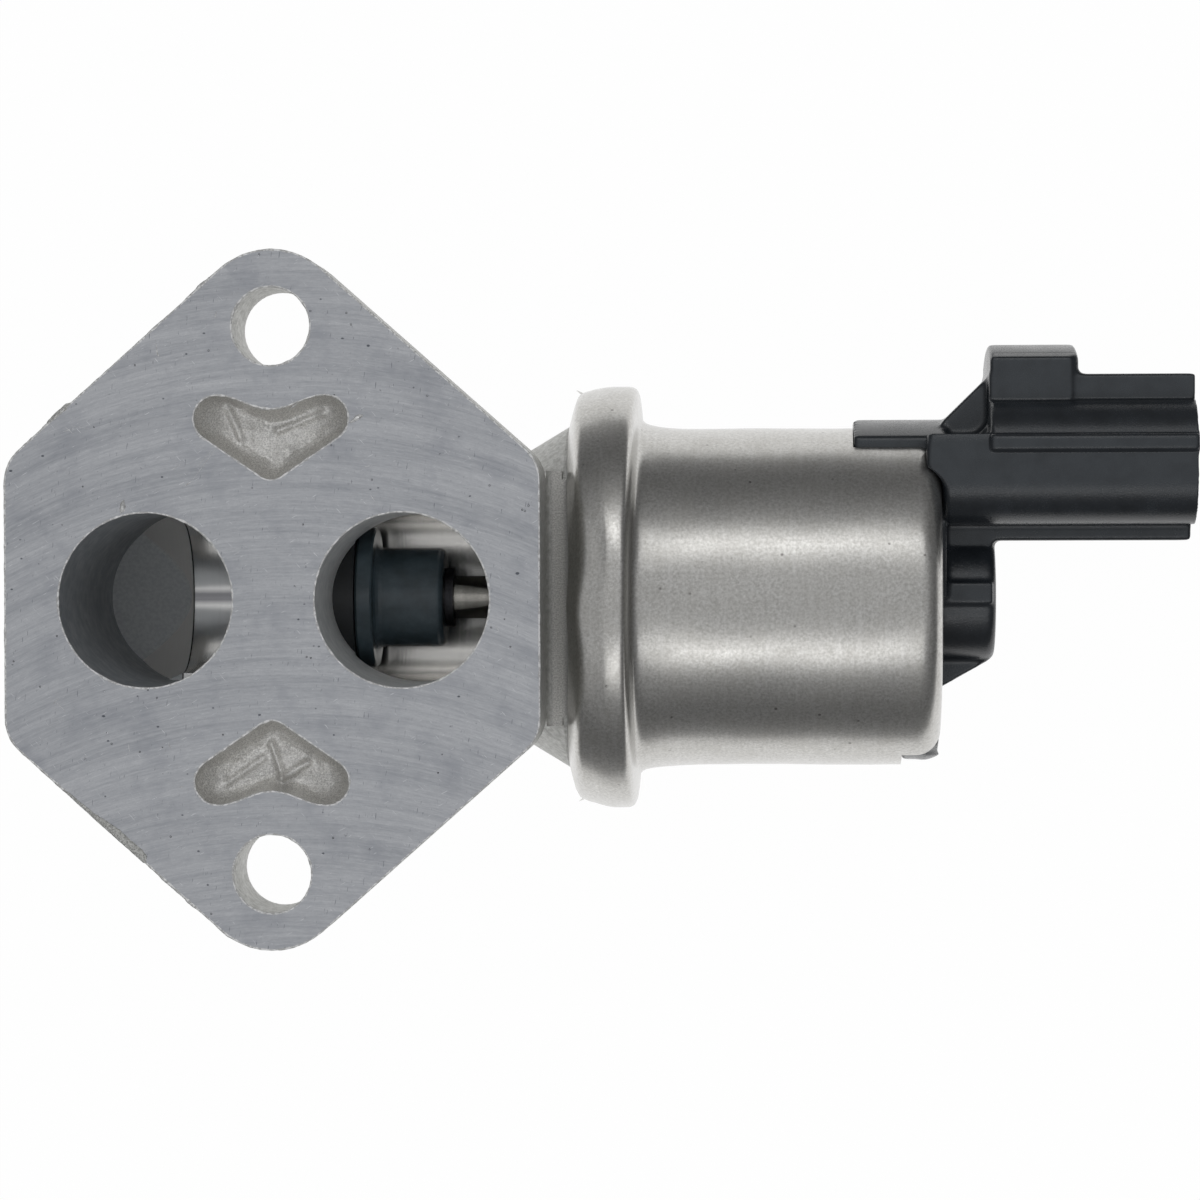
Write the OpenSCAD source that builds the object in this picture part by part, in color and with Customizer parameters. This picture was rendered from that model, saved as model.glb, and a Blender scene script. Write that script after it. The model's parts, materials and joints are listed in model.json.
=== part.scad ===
// Idle air control valve: a flanged casting, a crimped solenoid can and a moulded connector.
// The origin is the middle of the mounting face. +Z points out of that face and +X runs along
// the solenoid towards the connector. Sizes are in millimetres.

/* [Mounting flange] */
// Thickness of the flange
flange_t = 9; // [7:0.5:10]
// Distance between the two bolt holes
bolt_spacing = 50; // [48:1:60]
// Radius of a bolt hole
bolt_hole_r = 3.6; // [2.6:0.1:4.4]
// Radius of the flange round a bolt hole
ear_r = 7; // [6:0.25:9]
// Width of the flange across its two straight sides
flange_w = 49.1; // [48:0.1:54]
// Height of a straight side between its corners
flat_h = 25.6; // [20:0.5:30]
// Radius of the flange's side corners
corner_r = 2.5; // [1:0.25:4]

/* [Ports and air passage] */
// Radius of the two air ports
port_r = 8; // [6.5:0.25:8.25]
// Distance between the two ports
port_pitch = 23.55; // [22:0.05:25]
// How far the pair of ports is moved along X from the middle
port_shift = 0.175; // [-0.5:0.025:0.5]
// Depth of the air passage's axis below the mounting face
axis_depth = 21; // [20.5:0.25:24]
// Radius of the passage between the ports
bore_r = 7.3; // [6.8:0.1:7.6]
// Radius of the chamber round the plug
chamber_r = 8.45; // [8.3:0.05:9]
// Where the chamber starts, measured from the outlet port's axis
chamber_start = 6.05; // [5:0.05:6.5]
// Half angle of the cone at the passage's inlet end
inlet_cone_angle = 25; // [15:1:32]
// Wall of the casting round the chamber and the inlet port
cast_wall = 3.9; // [3:0.1:4.5]

/* [Cast pockets] */
// Distance of a pocket's two lobes from its middle
lobe_x = 5; // [3.5:0.25:6.5]
// Height of the lobes above the middle of the face
lobe_y = 16.6; // [16:0.1:17.2]
// Radius of a lobe
lobe_r = 2.1; // [1.5:0.1:2.4]
// Height of the pocket's point above the middle of the face
point_y = 12.65; // [12:0.05:13.5]
// Radius of the pocket's point
point_r = 1.65; // [1:0.05:2]
// How far the pocket's long side bows inwards
pocket_bow = 1.3; // [0.5:0.1:1.8]
// Depth of a pocket
pocket_depth = 3.4; // [2:0.1:5]

/* [Casting's end] */
// Distance of the casting's joint face from the middle of the flange
joint_x = 29.6; // [28.5:0.1:31]
// Radius of the casting's end inside the crimp
end_disc_r = 18.9; // [18.4:0.1:20]
// Thickness of the casting's end inside the crimp
end_disc_t = 2.1; // [1.8:0.1:2.6]
// Radius of the casting's neck at the crimp
neck_r = 16.35; // [15.8:0.05:16.8]
// Half angle of the neck's flare
flare_angle = 31; // [25:1:40]
// Width of the flat land between the flange and the can
land_w = 23.8; // [20:0.2:24.4]
// Radius of the fillet between the flange's side and the land
land_fillet_r = 0.7; // [0.4:0.1:1]

/* [Solenoid can] */
// Wall of the can
can_t = 1.2; // [0.8:0.1:1.4]
// Outer radius of the can
can_r = 16.1; // [15.6:0.1:16.8]
// Length of the rolled side of the rim
rim_roll_l = 3.8; // [3:0.2:4.4]
// Length over which the can settles behind its shoulder
shoulder_l = 5.5; // [4:0.5:8]
// Outer corner radius at the can's closed end
can_corner_r = 2.3; // [1.8:0.1:2.8]
// Radius of the opening in the can's end wall
can_opening_r = 10.4; // [9:0.2:12]
// Length of the slot for the upper key
top_slot_l = 8.2; // [6:0.2:10]
// Width of the slot for the upper key
top_slot_w = 15.6; // [12:0.2:16]
// Length of the slot for the lower key
low_slot_l = 3.65; // [3:0.05:6]
// Width of the slot for the lower key
low_slot_w = 12.2; // [9:0.2:14]

/* [Coil and magnetic parts] */
// Thickness of the front pole plate
plate_t = 1.8; // [1.4:0.1:2.4]
// How far the plate's hub reaches into the chamber
hub_l = 8; // [6:0.5:8.5]
// How far the plate's spigot reaches into the guide tube
spigot_l = 2.6; // [2:0.1:3.2]
// Length of the bobbin
coil_l = 25.6; // [25.4:0.1:30]
// Thickness of the rear flux washer
washer_t = 1.8; // [1.4:0.1:2.4]
// Inner radius of the guide tube as a share of the can's inner radius
tube_share = 0.47; // [0.45:0.005:0.49]
// Wall of the guide tube
tube_t = 0.5; // [0.3:0.1:0.8]
// Wall of the bobbin's tube
bobbin_t = 0.8; // [0.6:0.1:1.2]
// Thickness of a bobbin flange
bobbin_flange_t = 1.2; // [0.8:0.1:1.6]
// Gap between the bobbin's flanges and the can
bobbin_gap = 0.7; // [0.6:0.1:1.5]
// Depth left free between the winding and the flange's edge
winding_margin = 0.9; // [0.4:0.1:2]

/* [Plunger] */
// Radius of the rod
rod_r = 2.05; // [1.6:0.05:2.3]
// Travel of the plunger from closed to open
stroke = 4; // [2:0.25:4.25]
// Length of the armature
armature_l = 11.4; // [9:0.2:11.6]
// Radius of the plug's sealing disc
plug_disc_r = 6.7; // [6.2:0.1:7]
// Thickness of the plug's sealing disc
plug_disc_t = 1.6; // [1:0.1:2]
// Radius of the plug's hub
plug_hub_r = 4.75; // [4:0.05:5.2]
// Length of the plug's hub
plug_hub_l = 6.6; // [5:0.2:7.4]
// Radius of the seat's opening
seat_hole_r = 5.8; // [5:0.1:6]
// Length of the seat ring
seat_l = 4; // [3:0.2:5]
// Outer radius of the two bushings
bushing_r = 3.5; // [3:0.1:3.8]
// Length of the rear bushing
rear_bushing_l = 4; // [3:0.2:4.2]
// Wire radius of the return spring
wire_r = 0.45; // [0.3:0.05:0.5]
// Mean radius of the return spring as a share of the guide tube's inner radius
spring_share = 0.607; // [0.592:0.005:0.627]
// Turns of the return spring
spring_turns = 6; // [4:1:7]
// Depth of the spring's seats in armature and core
spring_pocket = 4; // [3.5:0.25:4.5]

/* [Connector moulding] */
// Distance of the socket's axis above the solenoid's axis
conn_y = 12.9; // [12.25:0.05:13.5]
// Length of the neck between can and socket
neck_l = 4.5; // [4:0.1:7]
// Width of the slope between neck and slab
slope_w = 11; // [9:0.5:13]
// Radius of the fillet between the neck's top and the socket
root_r = 1.9; // [1:0.1:2.2]
// Width of the web between the boss and the socket
web_w = 8; // [6:0.5:9]
// Length of the socket's shell
shell_l = 19.15; // [17:0.05:24]
// Outer radius of the shell's rounded sides
shell_r = 6.1; // [5.9:0.05:6.6]
// Distance between the centres of the shell's rounded sides
shell_pitch = 9; // [7:0.5:12]
// Wall of the shell
shell_t = 1.4; // [1:0.1:1.5]
// Depth of the socket
socket_depth = 13; // [10:0.5:15]
// Height of the flat slab on top of the shell
slab_h = 1.95; // [1.5:0.05:3]
// Width of the flat slab
slab_w = 14; // [10:0.5:16]
// Height of the side ribs' lower edge above the socket's axis
rib_low = 0.65; // [0.2:0.05:1.5]
// Height of a side rib
rib_h = 1.7; // [1.2:0.1:2.2]
// How far the bottom rib stands out of the shell
bottom_rib_h = 1.5; // [0.8:0.1:2]
// Height of the latch block above the slab
latch_h = 2.75; // [1.5:0.05:3.5]
// Length of the latch block
latch_l = 8.3; // [6:0.1:11]
// How far the latch block stands out beyond each side of the slab
latch_side = 0.3; // [0.1:0.1:0.8]
// Bevel along the latch block's upper edges
latch_bevel = 1.1; // [0.6:0.1:1.3]
// Outer radius of the upper key, measured from the solenoid's axis
key_r = 16.9; // [16.7:0.1:18]
// Radius of the rear boss
boss_r = 6.2; // [5.5:0.1:6.6]
// Length of the rear boss beyond the can
boss_l = 5.3; // [4.9:0.1:7]
// Distance between the two terminal pins
pin_pitch = 5; // [4:0.25:6]
// Thickness of a terminal pin
pin_t = 0.64; // [0.5:0.02:0.8]
// Width of a terminal pin
pin_w = 1.5; // [1:0.1:2.2]

/* [Clearances] */
// Axial play between stacked pieces
stack_gap = 0.05; // [0.02:0.01:0.1]
// Gap round pieces that are pressed or moulded in
press_gap = 0.02; // [0.01:0.01:0.04]
// Radial clearance of the rod in its bushings
run_gap = 0.05; // [0.02:0.01:0.1]
// Gap round the armature
armature_gap = 0.3; // [0.2:0.05:0.4]
// Gap round the keys in the can's slots
key_gap = 0.1; // [0.05:0.05:0.2]

/* [Hidden] */
$fn = 96;
big = 200;

// Places of the ports and of the casting's outside
inlet_x = port_shift - port_pitch / 2;
outlet_x = port_shift + port_pitch / 2;
passage_start = inlet_x + 0.1;
chamber_x = outlet_x - chamber_start;
floor_depth = axis_depth + bore_r + 0.1;
barrel_r = chamber_r + cast_wall;
boss_outer_r = port_r + cast_wall - 0.5;
barrel_x0 = inlet_x - boss_outer_r - 0.4;
end_fillet = 4;
neck_x = joint_x - end_disc_t - can_t - 0.15;
flare_l = (neck_r - barrel_r) / tan(flare_angle);

// Planes of the stack inside the can, from the casting's joint face to the can's end
plate_x1 = joint_x + plate_t;
coil_x0 = plate_x1 + stack_gap;
coil_x1 = coil_x0 + coil_l;
washer_x0 = coil_x1 + stack_gap;
washer_x1 = washer_x0 + washer_t;
backing_x0 = washer_x1 + stack_gap;
backing_t = 1.2;
can_inner_end = backing_x0 + backing_t + stack_gap;
can_end = can_inner_end + can_t;
can_inner_r = can_r - can_t;
tube_r = tube_share * can_inner_r;
spring_r = spring_share * tube_r;
rim_inner_r = end_disc_r + 0.1;
rim_r = rim_inner_r + can_t;
shoulder_x = plate_x1 + can_t;

// Planes of the plunger, closed
seat_x0 = chamber_x - seat_l;
plug_x = chamber_x + stack_gap;
hub_end = plug_x + plug_disc_t + plug_hub_l;
spigot_end = plate_x1 + spigot_l;
clip_t = 0.8;
armature_x0 = spigot_end + 0.6;
armature_x1 = armature_x0 + armature_l;
armature_r = tube_r - armature_gap;
core_x0 = armature_x1 + stroke + 0.3;
core_pocket = core_x0 + spring_pocket;
rear_bushing_x0 = core_pocket + 0.1;
rod_x0 = plug_x - 0.9;
rod_x1 = rear_bushing_x0 + rear_bushing_l - 1;
rod_room = rod_x1 + stroke + 0.8;
bushing_bore = rod_r + run_gap;

// Planes of the connector
shell_x0 = can_end + neck_l;
shell_x1 = shell_x0 + shell_l;
socket_x0 = shell_x1 - socket_depth;
slab_top = conn_y + shell_r + slab_h;
rib_top = conn_y + rib_low + rib_h;
neck_top = rib_top - 0.1;
boss_end = can_end + boss_l;
latch_x0 = shell_x0 + 0.15;
latch_x1 = latch_x0 + latch_l;
latch_top = slab_top + latch_h;
latch_w = slab_w + 2 * latch_side;

// A turned shape whose axis is the solenoid's, from a list of [radius, x] points
module turned(points) {
    translate([0, 0, -axis_depth])
        rotate([0, 90, 0])
            rotate_extrude()
                polygon(points);
}

// A ring or a rod on the solenoid's axis
module ring(x0, x1, outer, inner = 0) {
    translate([x0, 0, -axis_depth])
        rotate([0, 90, 0])
            difference() {
                cylinder(h = x1 - x0, r = outer);
                if (inner > 0)
                    translate([0, 0, -1])
                        cylinder(h = x1 - x0 + 2, r = inner);
            }
}

// A section drawn as [y, z] from the solenoid's axis, pushed along X
module pushed(x0, x1) {
    translate([x0, 0, -axis_depth])
        rotate([90, 0, 90])
            linear_extrude(x1 - x0)
                children();
}

// A side view drawn as [x, y] from the solenoid's axis, centred on the middle plane
module side_profile(width) {
    translate([0, 0, -axis_depth - width / 2])
        linear_extrude(width)
            children();
}

// Points of an arc
function arc(cx, cy, r, a0, a1, n = 8) =
    [for (k = [0:n]) [cx + r * cos(a0 + (a1 - a0) * k / n), cy + r * sin(a0 + (a1 - a0) * k / n)]];

// Direction in which a belt leaves circle p for circle q, counted as the outward normal
function belt_angle(p, q) =
    atan2(q[1] - p[1], q[0] - p[0]) - acos((p[2] - q[2]) / norm([q[0] - p[0], q[1] - p[1]]));

// Outline of a belt laid round circles [x, y, r] that are listed anticlockwise
function belt(c, n = 10) = [for (i = [0:len(c) - 1])
    let (before = c[(i + len(c) - 1) % len(c)], here = c[i], after = c[(i + 1) % len(c)],
        a0 = belt_angle(before, here),
        turn = (belt_angle(here, after) - a0 + 720) % 360)
    for (p = arc(here[0], here[1], here[2], a0, a0 + turn, n)) p];

// Outline of a pocket: two lobes, a smooth bow between them, and the point
pocket_middle = (lobe_y + point_y) / 2 + 0.4;
lobe_angle = belt_angle([0, point_y, point_r], [lobe_x, lobe_y, lobe_r]);
pocket_outline = concat(
    arc(lobe_x, lobe_y, lobe_r, lobe_angle, 90, 8),
    [for (k = [1:11]) let (u = 1 - k / 6)
        [lobe_x * u, lobe_y + lobe_r - pocket_bow * (1 + cos(180 * u)) / 2]],
    arc(-lobe_x, lobe_y, lobe_r, 90, 180 - lobe_angle, 8),
    arc(0, point_y, point_r, 180 - lobe_angle, 360 + lobe_angle, 6));

// A pocket as one lofted bowl: the outline shrinks towards the floor, and starts above the face
module pocket() {
    levels = [[-0.1, 1.015], [0.35, 0.95], [0.62, 0.86], [0.82, 0.74], [0.95, 0.58], [1, 0.42]];
    count = len(pocket_outline);
    points = [for (l = levels) for (p = pocket_outline)
        [p[0] * l[1], pocket_middle + (p[1] - pocket_middle) * l[1], -pocket_depth * l[0]]];
    walls = [for (i = [0:len(levels) - 2]) for (k = [0:count - 1]) let (m = (k + 1) % count)
        [i * count + k, i * count + m, (i + 1) * count + m, (i + 1) * count + k]];
    top = [[for (k = [count - 1:-1:0]) k]];
    bottom = [[for (k = [0:count - 1]) (len(levels) - 1) * count + k]];
    polyhedron(points, concat(walls, top, bottom));
}

// Aluminium casting with its machined face, ports, pockets and barrel
module valve_body() {
    side_x = flange_w / 2 - corner_r;
    side_y = flat_h / 2 - corner_r * 0.35;
    flange_circles = [[side_x, -side_y, corner_r], [side_x, side_y, corner_r],
        [0, bolt_spacing / 2, ear_r], [-side_x, side_y, corner_r],
        [-side_x, -side_y, corner_r], [0, -bolt_spacing / 2, ear_r]];
    land_x = flange_w / 2;
    color([0.68, 0.69, 0.71])
    difference() {
        union() {
            translate([0, 0, -flange_t])
                linear_extrude(flange_t)
                    polygon(belt(flange_circles));
            translate([inlet_x, 0, -axis_depth])
                cylinder(h = axis_depth - flange_t + 1, r = boss_outer_r);
            pushed(inlet_x, neck_x - flare_l + 1)
                translate([-boss_outer_r, 0])
                    square([2 * boss_outer_r, axis_depth - flange_t + 1]);
            difference() {
                turned(concat([[0, barrel_x0]],
                    arc(barrel_r - end_fillet, barrel_x0 + end_fillet, end_fillet, -90, 0, 8),
                    [[barrel_r, neck_x - flare_l], [neck_r, neck_x], [neck_r, neck_x + can_t + 0.15],
                    [end_disc_r - 0.7, neck_x + can_t + 0.65], [end_disc_r, neck_x + can_t + 1.2],
                    [end_disc_r, joint_x], [0, joint_x]]));
                translate([land_x, -big / 2, -flange_t])
                    cube([neck_x + can_t - land_x, big, big]);
            }
            // Flat land in front of the can, and its fillet up the flange's side
            translate([land_x - 3, -land_w / 2, -flange_t - 3])
                cube([neck_x - 0.1 - land_x + 3, land_w, 3]);
            translate([land_x, land_w / 2, -flange_t])
                rotate([90, 0, 0])
                    linear_extrude(land_w)
                        difference() {
                            square([land_fillet_r, land_fillet_r]);
                            translate([land_fillet_r, land_fillet_r])
                                circle(r = land_fillet_r);
                        }
        }
        for (side = [-1, 1])
            translate([0, side * bolt_spacing / 2, -flange_t - 1])
                cylinder(h = flange_t + 2, r = bolt_hole_r);
        for (x = [inlet_x, outlet_x])
            translate([x, 0, -axis_depth])
                cylinder(h = axis_depth + 1, r = port_r);
        // The inlet's bottom: a cone that opens away from the passage, down to a flat floor
        intersection() {
            translate([inlet_x, 0, -floor_depth])
                cylinder(h = floor_depth, r = port_r);
            turned([[0, inlet_x - port_r - 1], [bore_r + (port_r + 1.1) * tan(inlet_cone_angle), inlet_x - port_r - 1],
                [bore_r, passage_start], [0, passage_start]]);
        }
        ring(passage_start - 0.01, joint_x + 1, bore_r);
        ring(chamber_x, joint_x + 1, chamber_r);
        ring(joint_x - seal_depth, joint_x + 1, seal_r + seal_w / 2, seal_r - seal_w / 2);
        for (side = [0, 1])
            mirror([0, side, 0])
                pocket();
    }
}

// Groove and ring of the joint seal
seal_r = 13.2;
seal_wire_r = 0.75;
seal_depth = 2 * seal_wire_r;
seal_w = 2 * seal_wire_r + 0.3;
module body_seal_ring() {
    color([0.08, 0.08, 0.09])
        translate([joint_x - seal_depth / 2, 0, -axis_depth])
            rotate([0, 90, 0])
                rotate_extrude()
                    translate([seal_r, 0])
                        circle(r = seal_wire_r - press_gap, $fn = 32);
}

// Seat ring pressed into the passage
module valve_seat() {
    color([0.1, 0.1, 0.11])
        turned([[seat_hole_r + 0.5, seat_x0], [bore_r - press_gap, seat_x0], [bore_r - press_gap, chamber_x],
            [seat_hole_r, chamber_x], [seat_hole_r, seat_x0 + 0.5]]);
}

// Steel plate with a hub into the chamber and a spigot into the guide tube
module front_pole_plate() {
    hub_r = chamber_r - 0.25;
    color([0.55, 0.56, 0.57])
        turned([[bushing_r + press_gap, joint_x - hub_l], [hub_r - 1, joint_x - hub_l], [hub_r, joint_x - hub_l + 1],
            [hub_r, joint_x], [end_disc_r, joint_x], [end_disc_r, plate_x1], [tube_r - press_gap, plate_x1],
            [tube_r - press_gap, spigot_end - 0.4], [tube_r - press_gap - 0.4, spigot_end],
            [bushing_r + press_gap, spigot_end]]);
}

module front_bushing() {
    color([0.62, 0.5, 0.3])
        ring(joint_x - hub_l + 0.3, plate_x1, bushing_r, bushing_bore);
}

module rear_bushing() {
    color([0.62, 0.5, 0.3])
        ring(rear_bushing_x0, rear_bushing_x0 + rear_bushing_l, bushing_r, bushing_bore);
}

module guide_tube() {
    color([0.75, 0.72, 0.62])
        ring(coil_x0, washer_x0 - 0.3, tube_r + tube_t, tube_r);
}

bobbin_r = tube_r + tube_t + press_gap;
bobbin_flange_r = can_inner_r - bobbin_gap;
module coil_bobbin() {
    barrel = bobbin_r + bobbin_t;
    color([0.15, 0.15, 0.16])
        turned([[bobbin_r, coil_x0], [bobbin_flange_r, coil_x0], [bobbin_flange_r, coil_x0 + bobbin_flange_t],
            [barrel, coil_x0 + bobbin_flange_t], [barrel, coil_x1 - bobbin_flange_t],
            [bobbin_flange_r, coil_x1 - bobbin_flange_t], [bobbin_flange_r, coil_x1], [bobbin_r, coil_x1]]);
}

module coil_winding() {
    color([0.62, 0.32, 0.16])
        ring(coil_x0 + bobbin_flange_t + press_gap, coil_x1 - bobbin_flange_t - press_gap,
            bobbin_flange_r - winding_margin, bobbin_r + bobbin_t + press_gap);
}

// Rear pole with the spring's seat, the rear bushing's bore and a head against the washer
module fixed_core() {
    core_r = tube_r - press_gap;
    color([0.5, 0.51, 0.52])
        turned([[spring_r + wire_r + 0.3, core_x0], [core_r, core_x0], [core_r, washer_x1],
            [bushing_r + press_gap, washer_x1], [bushing_r + press_gap, core_pocket],
            [spring_r + wire_r + 0.3, core_pocket]]);
}

module rear_flux_washer() {
    color([0.6, 0.6, 0.6])
        ring(washer_x0, washer_x1, can_inner_r - 0.15, tube_r);
}

// Drawn can: a lip crimped over the casting's end, a rim, a shoulder and a slotted end
module solenoid_can() {
    lip_x = neck_x;
    lip_r = neck_r + 0.05;
    outer = concat(
        [[lip_r, lip_x], [rim_r - 1.1, lip_x + 0.7], [rim_r - 0.45, lip_x + 1.5], [rim_r - 0.1, lip_x + 2.6],
            [rim_r, lip_x + rim_roll_l]],
        arc(rim_r - 1.1, shoulder_x - 1.25, 1.1, 0, 60, 5),
        [[can_r + 2.3, shoulder_x - 0.05], [can_r + 1.2, shoulder_x + 0.2], [can_r + 0.75, shoulder_x + 0.55],
            [can_r + 0.5, shoulder_x + 1], [can_r + 0.3, shoulder_x + 1.9], [can_r + 0.1, shoulder_x + 3.6],
            [can_r, shoulder_x + shoulder_l]],
        arc(can_r - can_corner_r, can_end - can_corner_r, can_corner_r, 0, 90, 6),
        [[can_opening_r, can_end]]);
    bend_r = can_corner_r - can_t;
    inner = concat(
        [[can_opening_r, can_inner_end]],
        arc(can_inner_r - bend_r, can_inner_end - bend_r, bend_r, 90, 0, 5),
        [[can_inner_r, plate_x1 + 0.6], [can_inner_r + 0.6, plate_x1], [rim_inner_r, plate_x1],
            [rim_inner_r, lip_x + can_t + 1.2], [rim_inner_r - 0.7, lip_x + can_t + 0.6], [lip_r, lip_x + can_t + 0.1]]);
    color([0.62, 0.62, 0.59])
    difference() {
        turned(concat(outer, inner));
        translate([can_end - top_slot_l, 0, -axis_depth - top_slot_w / 2])
            cube([top_slot_l + 1, can_r + 2, top_slot_w]);
        translate([can_end - low_slot_l, -can_r - 2, -axis_depth - low_slot_w / 2])
            cube([low_slot_l + 1, can_r - can_t, low_slot_w]);
    }
}

// Section of the socket: rounded sides, a flat slab, side ribs and a bottom rib
module shell_section(r) {
    for (side = [-1, 1])
        translate([conn_y, side * shell_pitch / 2])
            circle(r = r);
    translate([conn_y - r, -shell_pitch / 2])
        square([2 * r, shell_pitch]);
}

module pin_slot(index, gap) {
    translate([0, conn_y - pin_t / 2 - gap, -axis_depth + (index - 1.5) * pin_pitch - pin_w / 2 - gap])
        translate([can_end + 2, 0, 0])
            cube([shell_x1 - can_end - 7 + gap, pin_t + 2 * gap, pin_w + 2 * gap]);
}

// Black moulding: backing disc and keys in the can, boss, gussets, neck, socket and latch block
module connector_housing() {
    backing_r = can_inner_r - 0.15;
    key_w = top_slot_w - 2 * key_gap;
    low_w = low_slot_w - 2 * key_gap;
    color([0.06, 0.065, 0.075])
    difference() {
        union() {
            ring(backing_x0, backing_x0 + backing_t, backing_r - 1.1);
            ring(backing_x0, can_end - 0.1, can_opening_r - key_gap);
            // Upper key, whose top follows the can's curve, and the neck's root in the slot
            intersection() {
                pushed(can_end - top_slot_l + key_gap, can_end + 0.6)
                    translate([0, -key_w / 2])
                        square([key_r, key_w]);
                ring(can_end - top_slot_l, can_end + 1, key_r);
            }
            // Neck with the socket's section, level with the ribs
            pushed(can_end + key_gap, shell_x0 + 0.5)
                intersection() {
                    shell_section(shell_r);
                    translate([0, -big / 2])
                        square([neck_top, big]);
                }
            // Slope from the key up to the slab, and the rounded root beside it
            side_profile(slope_w)
                polygon([[can_end + 0.15, neck_top - 1], [can_end + 0.15, key_r - 0.4], [shell_x0 + 0.2, slab_top],
                    [shell_x0 + 1, slab_top], [shell_x0 + 1, neck_top - 1]]);
            side_profile(slab_w + 2)
                difference() {
                    translate([shell_x0 - root_r, neck_top - 0.5])
                        square([root_r + 0.5, root_r + 0.5]);
                    translate([shell_x0 - root_r, neck_top + root_r])
                        circle(r = root_r);
                }
            // Lower key, held just below the can's surface
            intersection() {
                pushed(can_end - low_slot_l + key_gap, can_end - 0.15)
                    translate([-can_r, -low_w / 2])
                        square([can_r, low_w]);
                turned([[0, backing_x0 - 5], [can_r - 0.5, backing_x0 - 5], [can_r - 0.5, can_end - 1.6],
                    [can_r - 1.1, can_end - 0.15], [0, can_end - 0.15]]);
            }
            // Rear boss with its flat rib, the web up to the socket and the gusset below
            turned(concat([[0, can_end - 0.5], [boss_r, can_end - 0.5]],
                arc(boss_r - 0.9, boss_end - 0.9, 0.9, 0, 90, 4), [[0, boss_end]]));
            pushed(can_end - 0.5, boss_end - 0.4)
                translate([-0.6, 0])
                    square([2, boss_r + 0.35]);
            pushed(can_end - 0.5, boss_end - 0.3)
                translate([0, -web_w / 2])
                    square([conn_y, web_w]);
            side_profile(3)
                polygon([[can_end - 0.5, -3], [can_end - 0.5, -boss_r - 2.8], [can_end, -boss_r - 2.6],
                    [boss_end - 0.6, -boss_r + 0.05], [boss_end - 0.6, -3]]);
            // Socket, slab and ribs
            pushed(shell_x0, shell_x1)
                shell_section(shell_r);
            pushed(shell_x0, shell_x1)
                translate([conn_y, -slab_w / 2])
                    square([shell_r + slab_h, slab_w]);
            pushed(shell_x0, shell_x1 + 0.1)
                for (side = [-1, 1])
                    translate([conn_y + rib_low, side > 0 ? 0 : -shell_pitch / 2 - shell_r - 0.5])
                        square([rib_h, shell_pitch / 2 + shell_r + 0.5]);
            pushed(boss_end - 0.3, shell_x1 - 0.1)
                translate([conn_y - shell_r - bottom_rib_h, -4])
                    square([bottom_rib_h + 1.2, 8]);
            // Latch block, bevelled along its upper edges and at its end, and its fillet to the slab
            intersection() {
                side_profile(latch_w)
                    polygon(concat([[latch_x0, conn_y + 4], [latch_x1, conn_y + 4]],
                        arc(latch_x1 - 0.4, latch_top - 0.4, 0.4, 0, 90, 4),
                        arc(latch_x0 + 0.4, latch_top - 0.4, 0.4, 90, 180, 4)));
                pushed(latch_x0 - 1, latch_x1 + 1)
                    polygon([[conn_y, -latch_w / 2], [latch_top - latch_bevel, -latch_w / 2],
                        [latch_top, latch_bevel - latch_w / 2], [latch_top, latch_w / 2 - latch_bevel],
                        [latch_top - latch_bevel, latch_w / 2], [conn_y, latch_w / 2]]);
                translate([0, big / 2, -axis_depth])
                    rotate([90, 0, 0])
                        linear_extrude(big)
                            polygon([[latch_x0, -latch_w / 2], [latch_x1 - 0.75, -latch_w / 2],
                                [latch_x1, 0.6 - latch_w / 2], [latch_x1, latch_w / 2 - 0.6],
                                [latch_x1 - 0.75, latch_w / 2], [latch_x0, latch_w / 2]]);
            }
            side_profile(slab_w - 0.4)
                difference() {
                    translate([latch_x1 - 0.5, slab_top - 0.5])
                        square([1, 1]);
                    translate([latch_x1 + 0.5, slab_top + 0.5])
                        circle(r = 0.5);
                }
        }
        // Room for the coil behind the key, the socket, the rod's end and the pins
        ring(can_end - top_slot_l - 1, backing_x0, can_inner_r);
        pushed(socket_x0, shell_x1 + 1)
            shell_section(shell_r - shell_t);
        ring(backing_x0 - 1, rod_room, rod_r + 0.6);
        for (index = [1, 2])
            pin_slot(index, press_gap);
    }
}

module terminal_pin(index) {
    color([0.72, 0.7, 0.62])
        pin_slot(index, 0);
}
module terminal_pin_1() { terminal_pin(1); }
module terminal_pin_2() { terminal_pin(2); }

// Coil spring between the armature and the fixed core, as a tube swept round a helix
spring_x0 = armature_x1 - spring_pocket + stack_gap + wire_r;
spring_x1 = core_pocket - stack_gap - wire_r;
function helix(t) = [spring_x0 + (spring_x1 - spring_x0) * t, spring_r * cos(360 * spring_turns * t),
    spring_r * sin(360 * spring_turns * t) - axis_depth];
function wire_ring(t, sides) = let (p = helix(t), a = 360 * spring_turns * t)
    [for (k = [0:sides - 1]) let (b = 360 * k / sides)
        p + wire_r * [sin(b), cos(b) * cos(a), cos(b) * sin(a)]];
module return_spring() {
    sides = 8;
    rings = 14 * spring_turns;
    points = [for (i = [0:rings]) for (p = wire_ring(i / rings, sides)) p];
    walls = [for (i = [0:rings - 1]) for (k = [0:sides - 1]) let (m = (k + 1) % sides)
        [i * sides + k, i * sides + m, (i + 1) * sides + m, (i + 1) * sides + k]];
    start = [[for (k = [sides - 1:-1:0]) k]];
    finish = [[for (k = [0:sides - 1]) rings * sides + k]];
    color([0.6, 0.6, 0.62])
        polyhedron(points, concat(walls, start, finish));
}

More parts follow.
